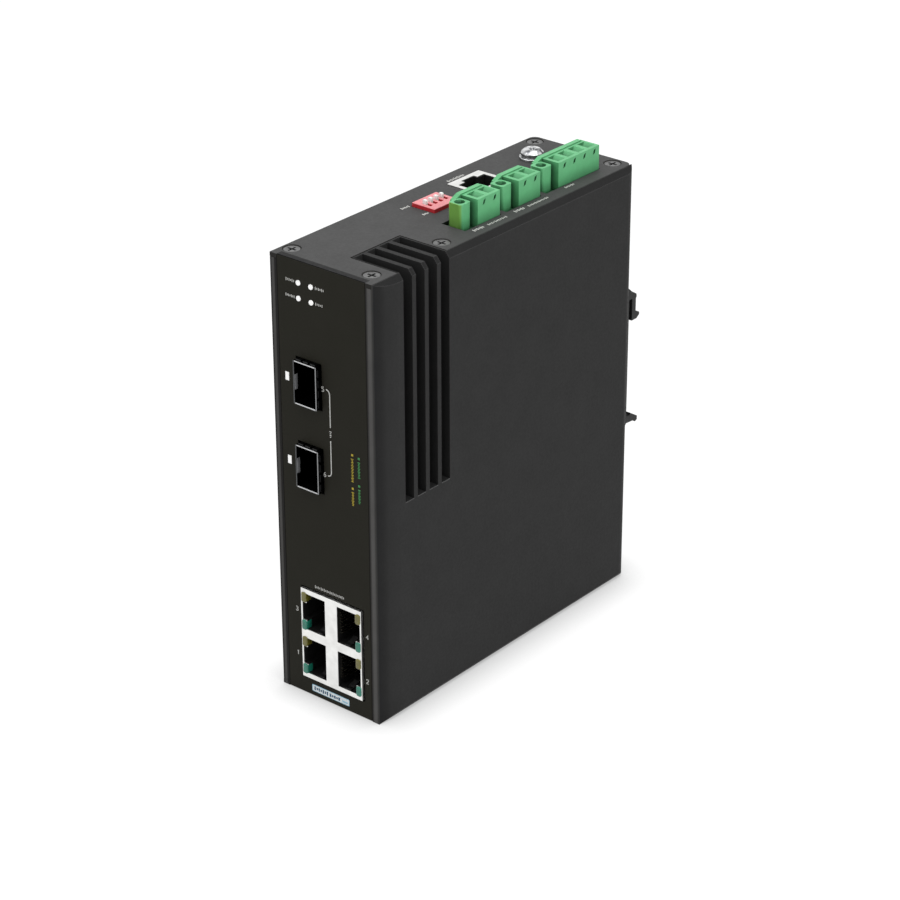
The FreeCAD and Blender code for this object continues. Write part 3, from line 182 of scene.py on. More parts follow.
def wall_coat():
    """Black polyester powder baked on extrusion, with painted light and shade: highlights on the front lips
    and slot feet, shade on the bevels and curves.
    """
    material, tree, shader = finish("black_powder_coat_on_extrusion", 0.55, level=0.1)
    front, (right, rear, top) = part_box("heatsink_wall")[0].y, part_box("heatsink_wall")[1]
    lip_depth, bevel_reach = 0.4 * MM, 0.45 * MM
    bevel_facing = (0.785, 0.0, 0.62)
    # Across the front, painted light and shade: a pale highlight in the middle of each wall's lip, painted
    # shade at the lips' edges, and painted shade on the bed between them beside the film
    stops = (
        (0.0, "#1e1e1e"), (0.012, "#262626"), (0.021, "#525150"), (0.037, "#525150"), (0.047, "#1e1d1c"),
        (0.902, "#1e1d1c"), (0.921, "#5c5b5a"), (0.943, "#5c5b5a"), (0.96, "#3c3c3b"), (0.971, "#212121"),
    )
    lips = graded(tree, "X", -right, right, stops)
    # Along the sides, painted shade: dark on the front curve, even on the flat, and darkest round the rear
    # corner
    stops = (
        (0.0, "#1e1e1f"), (0.02, "#232323"), (0.036, "#2b2b2b"), (0.984, "#2b2b2b"), (0.993, "#151515"),
    )
    flanks = graded(tree, "Y", front, rear, stops)
    stops = (0.0, "#ffffff"), (0.5, "#ffffff"), (0.8, "#000000")
    lip = graded(tree, "Y", front, front + lip_depth, stops)
    shade = mixed(tree, lip, flanks, lips)
    # How nearly a place, rounded over at the edges, faces the way that the bevels do
    facing = add(tree, "Bevel", {"Radius": bevel_reach}, samples=EDGE_RAYS)
    lean = add(
        tree, "VectorMath", {0: facing.outputs["Normal"], 1: bevel_facing}, operation="DOT_PRODUCT",
    )
    # A painted highlight runs along the bevels, the bevels get painted shade, and each slot has a painted
    # highlight on the lip at its foot
    stops = (0.0, "#6c6c6c"), (0.6, "#6c6c6c"), (0.9, "#212121")
    foot_or_bevel = graded(tree, "Z", 0.0, top, stops)
    for least, most, tint in ((0.80, 0.86, srgb("#464646")), (0.93, 0.96, foot_or_bevel)):
        share = add(tree, "MapRange", {"Value": lean.outputs["Value"], "From Min": least, "From Max": most})
        shade = mixed(tree, share.outputs["Result"], shade, tint)
    coloured(tree, shader, clouded(tree, shade, width_mm=8))
    powder_peel(tree, shader)
    return material


def printed_film():
    """Polyester film with matt black ink behind it: a flat, slightly brown black."""
    material, tree, shader = finish("polyester_film_screen_printed", 0.6, level=0.08)
    coloured(tree, shader, mottle(tree, 9, "#25241e", "#272620"))
    # The film's emboss is about 0.2 mm; drawn at 0.6 mm so that it shows
    relief(tree, shader, width_mm=0.6, height_mm=0.004, rough=(0.55, 0.65))
    return material


def black_oxide_steel():
    """Steel screws blackened in a hot bath: a thin oily shine on the faces, and painted shade that turns
    the recesses black.
    """
    material, tree, shader = finish("black_oxide_steel_turned", 0.35, metallic=0.6)
    coloured(tree, shader, crease_shaded(tree, mottle(tree, 1.5, "#606060", "#767676"), reach_mm=1.2, least=0.1))
    relief(tree, shader, width_mm=0.8, height_mm=0.01, rough=(0.35, 0.5))
    return material


def anodised_clip():
    """Extruded aluminium anodised black: even dark grey with a soft sheen and faint upright marks."""
    material, tree, shader = finish("black_anodised_aluminium_extruded", 0.5, level=0.2)
    coloured(tree, shader, mottle(tree, 4, "#1e1e1e", "#262626"))
    relief(tree, shader, width_mm=1.2, height_mm=0.01, stretch=(1, 1, 0.15), rough=(0.4, 0.52))
    return material


def worked_metal(name, dark, light, rough, marks_mm, metallic=1.0):
    """Rolled, drawn or turned metal: it mirrors the studio, with faint marks along its grain."""
    material, tree, shader = finish(name, sum(rough) / 2, metallic=metallic)
    coloured(tree, shader, mottle(tree, 3, dark, light))
    relief(tree, shader, width_mm=marks_mm, height_mm=0.004, stretch=(1, 1, 0.2), rough=rough)
    return material


def module_cage_steel():
    """Nickel plated steel cage, with painted light: a highlight on the cut rim and finger tips, and painted
    shade behind them.
    """
    material, tree, shader = finish("nickel_plated_steel_cage_stamped", 0.34, metallic=1.0)
    low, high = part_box("sfp_cage_upper")
    mouth_depth = 2 * MM
    # Across the mouth: painted shade on the left wall, a painted highlight on the cut rim
    stops = (0.0, "#565758"), (0.02, "#565758"), (0.05, "#c8c9ca"), (0.95, "#c8c9ca"), (0.98, "#8e8f90")
    rim = graded(tree, "X", low.x + FLARE + SHEET, high.x - FLARE - SHEET, stops)
    # Into the mouth, painted light and shade: the highlit rim, a shaded gap, the highlit finger tips, and
    # shaded walls behind them
    stops = (
        (0.0, "#ffffff"), (0.06, "#ffffff"), (0.14, "#1a1a1a"), (0.22, "#4c4c4c"), (0.28, "#4c4c4c"),
        (0.36, "#262626"), (1.0, "#303030"),
    )
    depth = graded(tree, "Y", low.y, low.y + mouth_depth, stops)
    coloured(tree, shader, clouded(tree, mixed(tree, 1.0, rim, depth, "MULTIPLY"), width_mm=1.2))
    relief(tree, shader, width_mm=0.8, height_mm=0.004, rough=(0.3, 0.45))
    return material


def tool_grain(tree, shader, rough):
    """The fine matt grain that an eroded mould tool leaves on plastic."""
    # Such grain is about 0.1 mm wide; drawn at 0.7 mm so that it shows at this size
    relief(tree, shader, width_mm=0.7, height_mm=0.006, rough=rough)


def moulded(name, dark, light, rough, level=0.5):
    """Moulded, cast or drawn plastic: one even shade under a fine matt grain."""
    material, tree, shader = finish(name, sum(rough) / 2, level=level)
    coloured(tree, shader, mottle(tree, 4, dark, light))
    tool_grain(tree, shader, rough)
    return material


def red_switch_plastic():
    """Red moulded polyester: deep red in its slots and on its sides, with a painted pink sheen on top."""
    material, tree, shader = finish("red_polyester_moulded", 0.35)
    top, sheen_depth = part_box("dip_body")[1].z, 0.5 * MM
    # The pink top is a painted sheen, standing for the gloss mirroring the bright room
    stops = (0.0, "#c42a32"), (0.7, "#c42a32"), (0.85, "#ec8f94")
    coloured(tree, shader, clouded(tree, graded(tree, "Z", top - sheen_depth, top, stops), width_mm=2))
    tool_grain(tree, shader, (0.3, 0.42))
    return material


def green_plug_plastic():
    """Green moulded polyamide with a fine matt grain, more yellow towards the front of the flange, with
    painted shade in its crevices.
    """
    material, tree, shader = finish("green_polyamide_moulded", 0.42, level=0.35)
    front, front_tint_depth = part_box("plug_1")[0].y, 0.8 * MM
    stops = (0.0, "#76ac4d"), (0.3, "#6eaa56"), (0.8, "#62b67c")
    body = clouded(tree, graded(tree, "Y", front, front + front_tint_depth, stops), width_mm=4)
    # Painted shade darkens the crevices and the faces tucked behind the flange
    coloured(tree, shader, crease_shaded(tree, body, reach_mm=4, least=0.12))
    tool_grain(tree, shader, (0.35, 0.48))
    return material


def bright_screw_steel():
    """Nickel plated steel screw: mirror bright, with dark and bright painted reflections in patches."""
    material, tree, shader = finish("nickel_plated_steel_headed", 0.2, metallic=1.0)
    coloured(tree, shader, mottle(tree, 2.2, "#55565a", "#f4f5f6", detail=1.0))
    relief(tree, shader, width_mm=0.8, height_mm=0.004, rough=(0.12, 0.25))
    return material


def lens(name, dark, light):
    """Tinted clear polycarbonate: glossy, with a little light let through."""
    material, tree, shader = finish(name, 0.2)
    shader.inputs["Transmission Weight"].default_value = 0.15
    shader.inputs["IOR"].default_value = 1.58
    coloured(tree, shader, mottle(tree, 2, dark, light))
    relief(tree, shader, width_mm=1.5, height_mm=0.004, rough=(0.15, 0.28))
    return material


def light_pipe():
    """Milky polycarbonate light pipe: white, with a faint painted glow though no lamp is in it."""
    material, tree, shader = finish("diffusing_polycarbonate_moulded", 0.35)
    milk = mottle(tree, 1.5, "#f4f4f2", "#ffffff")
    coloured(tree, shader, milk)
    # A painted glow lifts the white
    tree.links.new(milk, shader.inputs["Emission Color"])
    shader.inputs["Emission Strength"].default_value = 0.3
    tool_grain(tree, shader, (0.3, 0.4))
    return material


def plated_contacts():
    """Gold flashed brass springs: warm, smooth metal with drawn lines."""
    material, tree, shader = finish("gold_flashed_brass_drawn", 0.25, metallic=1.0)
    coloured(tree, shader, mottle(tree, 1.2, "#a29a86", "#bdb6a4"))
    relief(tree, shader, width_mm=0.5, height_mm=0.003, stretch=(1, 0.1, 1), rough=(0.2, 0.32))
    return material


def solder_mask():
    """Glass epoxy board under green solder mask: glossy, with the weave just showing."""
    material, tree, shader = finish("glass_epoxy_board_masked", 0.3)
    yarn = 1.0 * MM
    place = add(tree, "TexCoord", {})
    weave = add(
        tree, "TexBrick",
        {"Vector": place.outputs["Object"], "Color1": srgb("#1c4a2c"), "Color2": srgb("#205232"),
         "Mortar": srgb("#17402a"), "Scale": 1 / yarn, "Mortar Size": 0.08},
        offset=0.5,
    )
    coloured(tree, shader, weave.outputs["Color"])
    relief(tree, shader, width_mm=1.0, height_mm=0.01, rough=(0.25, 0.38))
    return material


def coated_label():
    """White coated paper with a soft sheen and a faint blue cast."""
    material, tree, shader = finish("coated_paper_label_printed", 0.4)
    coloured(tree, shader, mottle(tree, 3, "#ebf6fb", "#fbfeff"))
    relief(tree, shader, width_mm=0.8, height_mm=0.004, rough=(0.35, 0.5))
    return material


def printed_ink(name, dark, light):
    """Screen or offset printed ink: matt, with a slightly uneven cover."""
    material, tree, shader = finish(name, 0.6, level=0.3)
    coloured(tree, shader, mottle(tree, 0.8, dark, light))
    relief(tree, shader, width_mm=0.6, height_mm=0.004, rough=(0.55, 0.7))
    return material


# A shared finish takes a name, a dark and a light shade. Those of moulded and worked_metal also have
# the least and most roughness, and those of worked_metal the width of their marks in millimetres
PLATE_COAT = plate_coat()
WALL_COAT = wall_coat()
FILM = printed_film()
BLACK_SCREWS = black_oxide_steel()
CLIP = anodised_clip()
TIN = worked_metal("tinned_steel_shell_stamped", "#dededc", "#eeeeec", (0.3, 0.42), 1.0)
NICKEL_TURNED = worked_metal("nickel_plated_steel_turned", "#c9cacc", "#e6e7e8", (0.12, 0.25), 0.8)
NICKEL = bright_screw_steel()
SPRING = worked_metal("spring_steel_wire_drawn", "#8c8d8f", "#a5a6a8", (0.3, 0.42), 0.8)
LEAF = worked_metal("spring_steel_leaf_blued", "#3a3a3b", "#4c4c4d", (0.35, 0.48), 0.8)
ALUMINIUM = worked_metal("aluminium_extrusion_raw", "#b4b6b8", "#c8cacc", (0.3, 0.45), 1.0)
CAGE = module_cage_steel()
CAGE_LEAF = worked_metal("nickel_plated_leaf_stamped", "#66676a", "#8c8d8e", (0.45, 0.6), 0.8, metallic=0.3)
GOLD = plated_contacts()
BLACK_PLASTIC = moulded("glass_filled_nylon_moulded", "#0d0d0d", "#141414", (0.42, 0.55), level=0.35)
RED_PLASTIC = red_switch_plastic()
WHITE_PLASTIC = moulded("white_nylon_moulded", "#ececea", "#f8f8f6", (0.35, 0.5))
GREEN_PLASTIC = green_plug_plastic()
PALE_PIPE = light_pipe()
YELLOW_LENS = lens("amber_polycarbonate_moulded", "#6a6524", "#807a30")
GREEN_LENS = lens("green_polycarbonate_moulded", "#1c7864", "#259078")
BOARD = solder_mask()
CHIP = moulded("filled_epoxy_transfer_moulded", "#141415", "#1d1d1e", (0.5, 0.62))
SLEEVE = moulded("shrink_sleeve_drawn", "#1d2430", "#28303d", (0.3, 0.42))
PAD = moulded("silicone_pad_cast", "#7f93a6", "#93a6b8", (0.7, 0.85))
LABEL = coated_label()
WHITE_INK = printed_ink("white_ink_screen_printed", "#c8c8c4", "#dcdcd8")
YELLOW_INK = printed_ink("yellow_ink_screen_printed", "#b09c34", "#cdb844")
GREEN_INK = printed_ink("green_ink_screen_printed", "#3f8a50", "#56a463")
NAVY_INK = printed_ink("navy_ink_offset_printed", "#27506e", "#34627f")
PALE_INK = printed_ink("pale_blue_ink_offset_printed", "#9fd0e6", "#b4dcee")

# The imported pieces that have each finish
FINISHES = {
    PLATE_COAT: ("top_plate", "rear_panel"),
    WALL_COAT: ("left_wall", "heatsink_wall", "bottom_plate", "front_panel"),
    FILM: ("front_film",),
    BLACK_SCREWS: ("top_screws", "bottom_screws", "clip_screws"),
    CLIP: ("din_clip",),
    TIN: ("jack_shield", "console_shield"),
    NICKEL: ("ground_screw", "ground_washer"),
    NICKEL_TURNED: ("ground_nut", "board_screws", "board_standoffs", "clamp_screws", "flange_screws"),
    SPRING: ("din_spring", "header_pins"),
    ALUMINIUM: ("chip_sink",),
    CAGE: ("sfp_cage_upper", "sfp_cage_lower"),
    GOLD: ("jack_contacts", "console_contacts"),
    BLACK_PLASTIC: ("jack_body", "console_body", "sfp_socket_upper", "sfp_socket_lower", "relay",
                    "board_link"),
    RED_PLASTIC: ("dip_body",),
    WHITE_PLASTIC: ("dip_slider_1", "dip_slider_2", "dip_slider_3", "dip_slider_4"),
    GREEN_PLASTIC: ("plug_1", "plug_2", "plug_3", "header_1", "header_2", "header_3"),
    PALE_PIPE: ("status_pipes", "sfp_pipes"),
    YELLOW_LENS: ("yellow_windows",),
    GREEN_LENS: ("green_windows",),
    BOARD: ("main_board", "power_board"),
    CHIP: ("switch_chip", "power_coil"),
    SLEEVE: ("capacitors",),
    PAD: ("gap_pads",),
}

# Width in millimetres of the small round along a piece's edges. The finned wall keeps its packed
# edges, because those of its slots are too short for a round
EDGE_ROUNDS = {
    "top_plate": 0.25, "bottom_plate": 0.25, "left_wall": 0.3, "rear_panel": 0.2, "din_clip": 0.25,
    "plug_1": 0.2, "plug_2": 0.2, "plug_3": 0.2, "dip_body": 0.2,
    "dip_slider_1": 0.15, "dip_slider_2": 0.15, "dip_slider_3": 0.15, "dip_slider_4": 0.15,
    "jack_shield": 0.12, "jack_body": 0.12, "console_shield": 0.12, "console_body": 0.12,
    "sfp_cage_upper": 0.1, "sfp_cage_lower": 0.1, "yellow_windows": 0.15, "green_windows": 0.15,
    "ground_screw": 0.25, "ground_washer": 0.15, "relay": 0.4, "power_coil": 0.3,
}
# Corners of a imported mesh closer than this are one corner, and edges sharper than this get a round
CORNER_GAP = 0.002 * MM
SHARP_EDGE = math.radians(30)


def dress(material, names):
    """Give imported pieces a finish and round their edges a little."""
    for name in names:
        piece = nodes[name]
        piece.data.materials.clear()
        piece.data.materials.append(material)
        width = EDGE_ROUNDS.get(name)
        if not width:
            continue
        weld = piece.modifiers.new("join_corners", "WELD")
        weld.merge_threshold = CORNER_GAP
        rounds = piece.modifiers.new("edge_rounds", "BEVEL")
        rounds.width = width * MM
        rounds.segments = 2
        rounds.limit_method = "ANGLE"
        rounds.angle_limit = SHARP_EDGE
        rounds.harden_normals = True


for material, names in FINISHES.items():
    dress(material, names)


def join_rings(built, rings):
    """Faces between rings of corners, with both ends closed."""
    for here, there in zip(rings, rings[1:]):
        for step in range(len(here)):
            after = (step + 1) % len(here)
            built.faces.new((here[step], here[after], there[after], there[step]))
    built.faces.new(rings[0])
    built.faces.new(rings[-1])


# A mitre reaches out to twice a stroke's width at most
LEAST_MITRE = 0.5


def stroke(built, path, width, carry):
    """A closed ribbon of ink along a path, square at its ends and mitred at its corners."""
    rings = []
    for index, point in enumerate(path):
        ahead = Vector(path[min(index + 1, len(path) - 1)]) - Vector(path[max(index - 1, 0)])
        side = Vector((-ahead.y, ahead.x)).normalized() * width / 2
        if 0 < index < len(path) - 1:
            arrive = (Vector(point) - Vector(path[index - 1])).normalized()
            side /= max(LEAST_MITRE, abs(arrive.dot(ahead.normalized())))
        edges = Vector(point) + side, Vector(point) - side
        low = [carry(edge.x, edge.y, 0) for edge in edges]
        high = [carry(edge.x, edge.y, INK) for edge in reversed(edges)]
        rings.append([built.verts.new(corner) for corner in low + high])
    join_rings(built, rings)


def on_film(across, up, proud):
    """A point on the printed film from millimetres across and up, standing a little proud."""
    return Vector((across * MM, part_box("front_film")[0].y - proud, up * MM))


def on_top(across, along, proud):
    """A point on the top plate from millimetres across and along, standing a little proud."""
    return Vector((across * MM, along * MM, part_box("top_plate")[1].z + proud))


def on_label(across, up, proud):
    """A point on the label's white field from millimetres across and up."""
    return on_film(across, up, 2 * INK + proud)


def keep_piece(name, built, material):
    """Turn a built mesh into a piece that rides on the housing and fills a slot."""
    bmesh.ops.recalc_face_normals(built, faces=built.faces)
    mesh = bpy.data.meshes.new(name)
    built.to_mesh(mesh)
    built.free()
    mesh.materials.append(material)
    piece = bpy.data.objects.new(name, mesh)
    scene.collection.objects.link(piece)
    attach(piece, "housing")


def printed(name, strokes, carry, ink):
    """One printed piece from strokes of (path, width) in millimetres."""
    built = bmesh.new()
    for path, width in strokes:
        stroke(built, path, width, carry)
    keep_piece(name, built, ink)


# Plain figures as the corners of one stroke, with a height of 1 and the foot at 0
DIGITS = {
    "1": [(0.1, 0.8), (0.35, 1.0), (0.35, 0.0)],
    "2": [(0.0, 0.8), (0.12, 0.95), (0.3, 1.0), (0.5, 0.93), (0.58, 0.75), (0.5, 0.55), (0.0, 0.0),
          (0.62, 0.0)],
    "3": [(0.02, 0.9), (0.3, 1.0), (0.55, 0.88), (0.52, 0.64), (0.25, 0.54), (0.55, 0.42), (0.58, 0.16),
          (0.3, 0.0), (0.0, 0.1)],
    "4": [(0.45, 0.0), (0.45, 1.0), (0.0, 0.3), (0.65, 0.3)],
    "5": [(0.55, 1.0), (0.08, 1.0), (0.05, 0.58), (0.35, 0.62), (0.58, 0.45), (0.56, 0.15),
          (0.3, 0.0), (0.0, 0.08)],
    "6": [(0.5, 1.0), (0.2, 0.78), (0.03, 0.42), (0.08, 0.1), (0.3, 0.0), (0.54, 0.1),
          (0.58, 0.36), (0.4, 0.55), (0.08, 0.44)],
}
DIGIT_MIDDLE = (0.3, 0.5)
# Share of the full height that the bars of a row of fine print have, over and over
BAR_HEIGHTS = (1.0, 0.62, 0.85, 0.55, 0.95, 0.7)


def digit(figure, across, up, tall, width):
    """A plain figure around a point, as one stroke."""
    middle, waist = DIGIT_MIDDLE
    return [(across + (u - middle) * tall, up + (v - waist) * tall) for u, v in DIGITS[figure]], width


def fine_print(start, end, tall, count, width=0.26):
    """A row of thin plain bars of uneven height, from one point to another."""
    first, last = Vector(start), Vector(end)
    pitch = (last - first) / count
    upright = Vector((-pitch.y, pitch.x)).normalized() * tall / 2
    bars = []
    for step in range(count):
        middle, reach = first + pitch * (step + 0.5), upright * BAR_HEIGHTS[step % len(BAR_HEIGHTS)]
        bars.append(([tuple(middle - reach), tuple(middle + reach)], width))
    return bars


def print_front():
    """White figures and lines on the film, and the two columns of colour beside them."""
    # A line from each cage's figure turns through a quarter circle and runs upright to the middle
    left, right, line_width = 0.45, 1.85, 0.34
    upper_start, upper_end, lower_start, lower_end = 109.3, 97.0, 80.5, 92.6
    bend, steps = right - left, 4
    angles = [math.radians(90 / steps * step) for step in range(steps + 1)]
    turn = [(bend * math.sin(angle), bend * (math.cos(angle) - 1)) for angle in angles]
    upper = [(left + u, upper_start + v) for u, v in turn] + [(right, upper_end)]
    lower = [(left + u, lower_start - v) for u, v in turn] + [(right, lower_end)]
    strokes = [(upper, line_width), (lower, line_width)]
    # Each figure with its middle across and up, beside its socket or cage
    figures = (("3", -13.95, 29.5), ("4", 15.05, 29.7), ("1", -14.05, 13.7), ("2", 14.85, 13.8),
               ("5", -0.85, 109.0), ("6", -0.85, 80.6))
    figure_height, figure_width = 1.5, 0.24
    strokes += [digit(figure, across, up, figure_height, figure_width) for figure, across, up in figures]
    # Each row of fine print from start to end, with its height and its number of bars
    rows = (
        ((-14.7, 141.05), (-11.1, 141.05), 1.0, 6), ((-3.1, 141.05), (0.6, 141.05), 1.0, 6),
        ((-14.9, 136.0), (-11.1, 136.0), 0.9, 7), ((-3.1, 136.0), (0.0, 136.0), 0.9, 5),
        ((-6.3, 40.0), (5.9, 40.0), 1.0, 20), ((right, 96.0), (right, 93.6), 0.8, 4),
    )
    for row in rows:
        strokes += fine_print(*row)
    printed("front_print_white", strokes, on_film, WHITE_INK)
    # Each column's place across, and its runs from high to low with their number of bars
    columns = (
        ("front_print_yellow", YELLOW_INK, 10.35, ((90.6, 81.5, 15), (79.4, 73.5, 10)), "yellow_lens"),
        ("front_print_green", GREEN_INK, 12.95, ((90.2, 83.5, 11), (81.0, 75.0, 10)), "green_lens"),
    )
    dot_half, dot_width, dot_gap, bar_height = 0.35, 0.75, 1.1, 0.95
    for name, ink, across, runs, carrier in columns:
        strokes = []
        for high, low, count in runs:
            strokes.append(([(across, high + dot_half), (across, high - dot_half)], dot_width))
            strokes += fine_print((across, high - dot_gap), (across, low), bar_height, count)
        printed(name, strokes, on_film, ink)


def print_top():
    """White dashes on the top plate beside the switch bank, the console socket and the plugs."""
    # Each row from start to end, across and along, with its height and its number of bars
    rows = (
        ((-12.4, -13.2), (-12.1, -9.6), 1.2, 5), ((-4.3, -12.5), (-4.0, -10.0), 1.2, 4),
        ((-16.1, 13.5), (-16.1, 21.5), 1.3, 10),
        ((15.75, -12.8), (15.95, -8.0), 1.4, 6), ((16.1, -6.3), (16.2, 2.8), 1.0, 11),
        ((15.75, 7.0), (15.95, 11.6), 1.4, 6), ((16.1, 13.3), (16.2, 23.2), 1.0, 12),
        ((15.4, 32.6), (15.5, 37.2), 1.0, 6),
    )
    strokes, bar_width = [], 0.34
    for row in rows:
        strokes += fine_print(*row, bar_width)
    printed("top_print_white", strokes, on_top, WHITE_INK)


def rounded_outline(low, high, turn):
    """Points round a rectangle between two corners, with round corners."""
    middles = ((high.x - turn, high.y - turn, 0), (low.x + turn, high.y - turn, 90),
               (low.x + turn, low.y + turn, 180), (high.x - turn, low.y + turn, 270))
    outline, steps = [], 5
    for across, up, start in middles:
        for step in range(steps + 1):
            angle = math.radians(start + 90 / steps * step)
            outline.append((across + turn * math.cos(angle), up + turn * math.sin(angle)))
    return outline


def label_sheet(name, low, high, turn, proud, material):
    """One thin sheet of the label with round corners, standing a little proud of the film."""
    outline = rounded_outline(Vector(low), Vector(high), turn)
    built = bmesh.new()
    join_rings(built, [[built.verts.new(on_film(u, v, lift)) for u, v in outline] for lift in (0, proud)])
    keep_piece(name, built, material)


def stick_label():
    """The label under the sockets: a pale blue rim, a white field and plain bars of navy ink."""
    # Each sheet's lower left and upper right corners and its corner radius, in millimetres
    label_sheet("label_rim", (-8.45, 1.8), (7.15, 4.2), 0.4, 1.5 * INK, PALE_INK)
    label_sheet("label_field", (-8.2, 2.0), (6.9, 4.0), 0.25, 2.0 * INK, LABEL)
    # Each row of bars from start to end, with its height, its number of bars and their width
    strokes = fine_print((-7.6, 3.05), (-1.6, 3.05), 1.3, 7, 0.5)
    strokes += fine_print((-1.2, 2.95), (3.4, 2.95), 1.2, 5, 0.62)
    printed("label_navy", strokes, on_label, NAVY_INK)
    strokes = fine_print((4.2, 2.75), (6.6, 2.75), 0.8, 6, 0.3)
    printed("label_pale", strokes, on_label, PALE_INK)


def bend_springs():
    """The grounding springs that lean in from the lower lip of each socket."""
    wide, deep, rise, gauge, clear, set_back = 2.2, 4.0, 1.2, 0.2, 0.05, 0.5
    lefts, lips = (-5.4, 6.0), (8.2, 24.0)
    # Each bend as a share of the spring's depth and of its rise
    bends = ((0, 0.02), (0.35, 0.1), (0.75, 0.62), (1.0, 1.0))
    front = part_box("jack_shield")[0].y + set_back * MM
    built = bmesh.new()
    for left, lip in product(lefts, lips):
        right, rings = left + wide, []
        for run, lift in bends:
            low = lip + clear + rise * lift
            high = low + gauge
            section = ((left, low), (right, low), (right, high), (left, high))
            rings.append([built.verts.new((x * MM, front + run * deep * MM, z * MM)) for x, z in section])
        join_rings(built, rings)
    keep_piece("socket_springs", built, LEAF)


def bend_cage_leaves():
    """The leaf on the left wall inside each module cage that presses on the module."""
    below_top, tall, gauge = 5.2 * MM, 5.0 * MM, 0.15 * MM
    # Each bend in millimetres from the cage's mouth and from its wall
    bends = ((0.15, 0.0), (0.4, 0.12), (1.2, 0.2), (1.6, 0.02))
    built = bmesh.new()
    for cage in ("sfp_cage_upper", "sfp_cage_lower"):
        corner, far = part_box(cage)
        high, rings = far.z - below_top, []
        low = high - tall
        for run, lift in bends:
            left = corner.x + FLARE + SHEET + lift * MM
            right = left + gauge
            section = ((left, low), (left, high), (right, high), (right, low))
            rings.append([built.verts.new((x, corner.y + run * MM, z)) for x, z in section])
        join_rings(built, rings)
    keep_piece("cage_leaves", built, CAGE_LEAF)


def dome_windows():
    """The domed front of each socket light, a little larger than the window behind it."""
    wide, tall, turn = 1.95, 3.5, 0.7
    # A dome reaches this far past the window's side, and its middle is this far from the row's end
    past, from_end = 0.35, 1.4
    # Each ring of the dome: how far in from its outline and how far in front of the window
    layers = ((0.0, 0.02), (0.0, 0.15), (0.12, 0.3), (0.4, 0.4))
    colours = ("yellow", YELLOW_LENS, "yellow_lens"), ("green", GREEN_LENS, "green_lens")
    for name, tint, carrier in colours:
        corner, far = (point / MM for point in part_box(name + "_windows"))
        columns = corner.x + wide / 2 - past, far.x - wide / 2 + past
        rows = corner.z + from_end, far.z - from_end
        built = bmesh.new()
        for middle in map(Vector, product(columns, rows)):
            rings = []
            for inset, proud in layers:
                half = Vector((wide / 2 - inset, tall / 2 - inset))
                outline = rounded_outline(middle - half, middle + half, turn - inset)
                place = (corner.y - proud) * MM
                rings.append([built.verts.new((u * MM, place, v * MM)) for u, v in outline])
            join_rings(built, rings)
        keep_piece(name + "_window_domes", built, tint)


print_front()
print_top()
stick_label()
bend_springs()
bend_cage_leaves()
dome_windows()


def place_camera():
    """The camera at the photograph's angle, with the photograph's perspective and slight tilt."""
    around, above, tilt = (math.radians(angle) for angle in (39.76968, 26.56353, -0.18755))
    spot = Vector((522.950, -633.382, 475.385)) * MM
    back = Vector((
        math.sin(around) * math.cos(above), -math.cos(around) * math.cos(above), math.sin(above),
    ))
    level = (-back).cross(Vector((0, 0, 1))).normalized()
    upright = level.cross(-back)
    right = math.cos(tilt) * level + math.sin(tilt) * upright
    upward = math.cos(tilt) * upright - math.sin(tilt) * level
    turn = Matrix((right, upward, back)).transposed().to_4x4()
    lens_data = bpy.data.cameras.new("camera")
    lens_data.lens = 115.237
    lens_data.sensor_width = 36
    lens_data.clip_start = 0.05
    lens_data.clip_end = 20
    camera = bpy.data.objects.new("camera", lens_data)
    scene.collection.objects.link(camera)
    camera.matrix_world = Matrix.Translation(spot) @ turn
    scene.camera = camera


def seen_or_mirrored(tree):
    """1 for a ray that the camera, a mirror or a clear piece sends out, and 0 for scattered light."""
    path = add(tree, "LightPath", {})
    either = add(tree, "Math", {0: path.outputs["Is Camera Ray"], 1: path.outputs["Is Glossy Ray"]},
                 operation="MAXIMUM")
    return add(tree, "Math", {0: either.outputs[0], 1: path.outputs["Is Transmission Ray"]},
               operation="MAXIMUM").outputs[0]


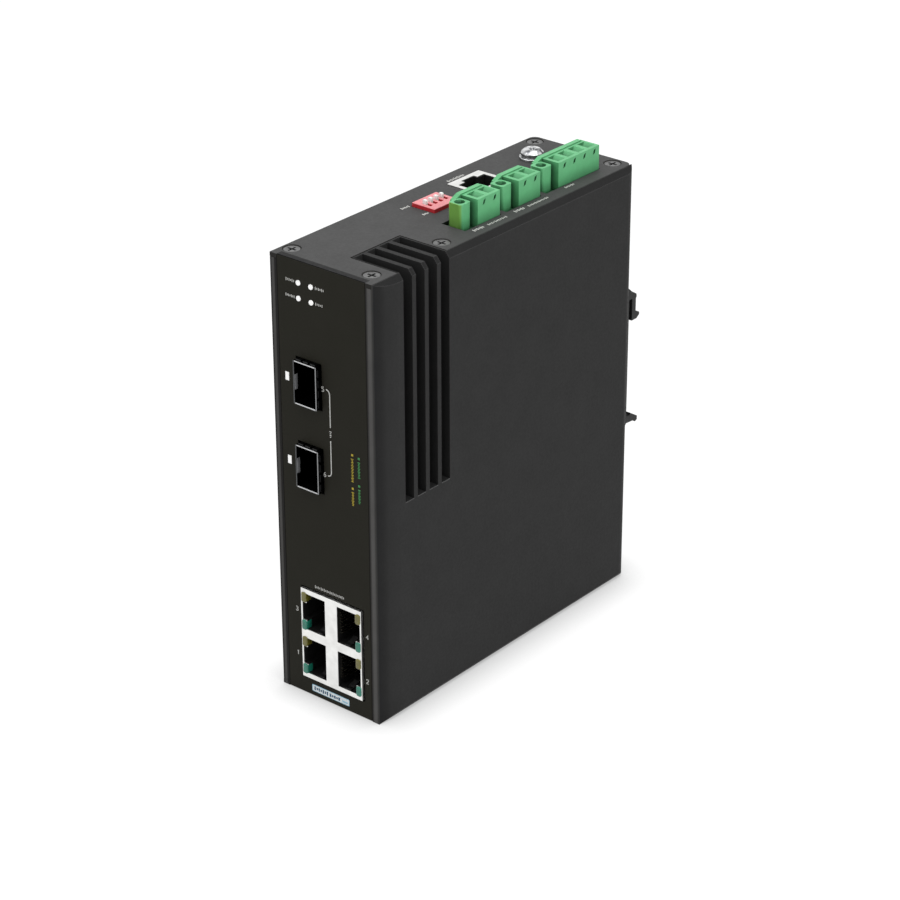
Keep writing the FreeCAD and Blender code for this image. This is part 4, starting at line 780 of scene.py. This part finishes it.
def lay_floor():
    """A pale floor that looks white to the camera and keeps a faint shadow of the part."""
    half, shadow_reach = 3.0, 13 * MM
    corners = [(-half, -half, 0), (half, -half, 0), (half, half, 0), (-half, half, 0)]
    mesh = bpy.data.meshes.new("floor")
    mesh.from_pydata(corners, [], [(0, 1, 2, 3)])
    floor = bpy.data.objects.new("floor", mesh)
    scene.collection.objects.link(floor)
    material = bpy.data.materials.new("pale_studio_floor")
    material.use_nodes = True
    tree = material.node_tree
    tree.nodes.clear()
    plain = add(tree, "BsdfDiffuse", {"Color": srgb("#a4a4a4")})
    shadowed = add(tree, "BsdfDiffuse", {"Color": srgb("#707070")})
    # A narrow painted shadow, the floor's glow dimmed near the part, lies close along its foot
    open_sky = add(tree, "AmbientOcclusion", {"Distance": shadow_reach}, samples=SKY_RAYS)
    strength = add(tree, "MapRange", {"Value": open_sky.outputs["AO"], "To Min": 0.25, "To Max": 0.89})
    glow = add(tree, "Emission", {"Color": (1, 1, 1, 1), "Strength": strength.outputs["Result"]})
    white = add(tree, "AddShader", {0: shadowed.outputs[0], 1: glow.outputs[0]})
    choice = add(tree, "MixShader", {0: seen_or_mirrored(tree), 1: plain.outputs[0], 2: white.outputs[0]})
    add(tree, "OutputMaterial", {"Surface": choice.outputs[0]})
    mesh.materials.append(material)


def light_studio():
    """Soft light from a white room, a wide overhead lamp, a side lamp and a weak front lamp."""
    world = bpy.data.worlds.new("white_room")
    scene.world = world
    world.use_nodes = True
    tree = world.node_tree
    tree.nodes.clear()
    seen = add(tree, "Background", {"Color": (1, 1, 1, 1), "Strength": 1.0})
    scattered = add(tree, "Background", {"Color": (1, 1, 1, 1), "Strength": 0.6})
    choice = add(tree, "MixShader",
                 {0: seen_or_mirrored(tree), 1: scattered.outputs[0], 2: seen.outputs[0]})
    add(tree, "OutputWorld", {"Surface": choice.outputs[0]})
    # Each lamp's place and side in metres, and its power in watts
    aim = Vector((0, 0, 0.07))
    lamps = (
        ("overhead_lamp", (-0.05, -0.15, 1.4), 1.2, 10.0),
        ("front_lamp", (-0.2, -1.4, 0.7), 0.8, 2.0),
        ("side_lamp", (1.4, -0.1, 0.8), 0.8, 10.0),
    )
    for name, spot, side, watts in lamps:
        lamp = bpy.data.lights.new(name, "AREA")
        lamp.shape = "SQUARE"
        lamp.size = side
        lamp.energy = watts
        holder = bpy.data.objects.new(name, lamp)
        scene.collection.objects.link(holder)
        holder.location = spot
        holder.rotation_euler = (aim - Vector(spot)).to_track_quat("-Z", "Y").to_euler()


place_camera()
lay_floor()
light_studio()
scene.view_settings.view_transform = "Standard"
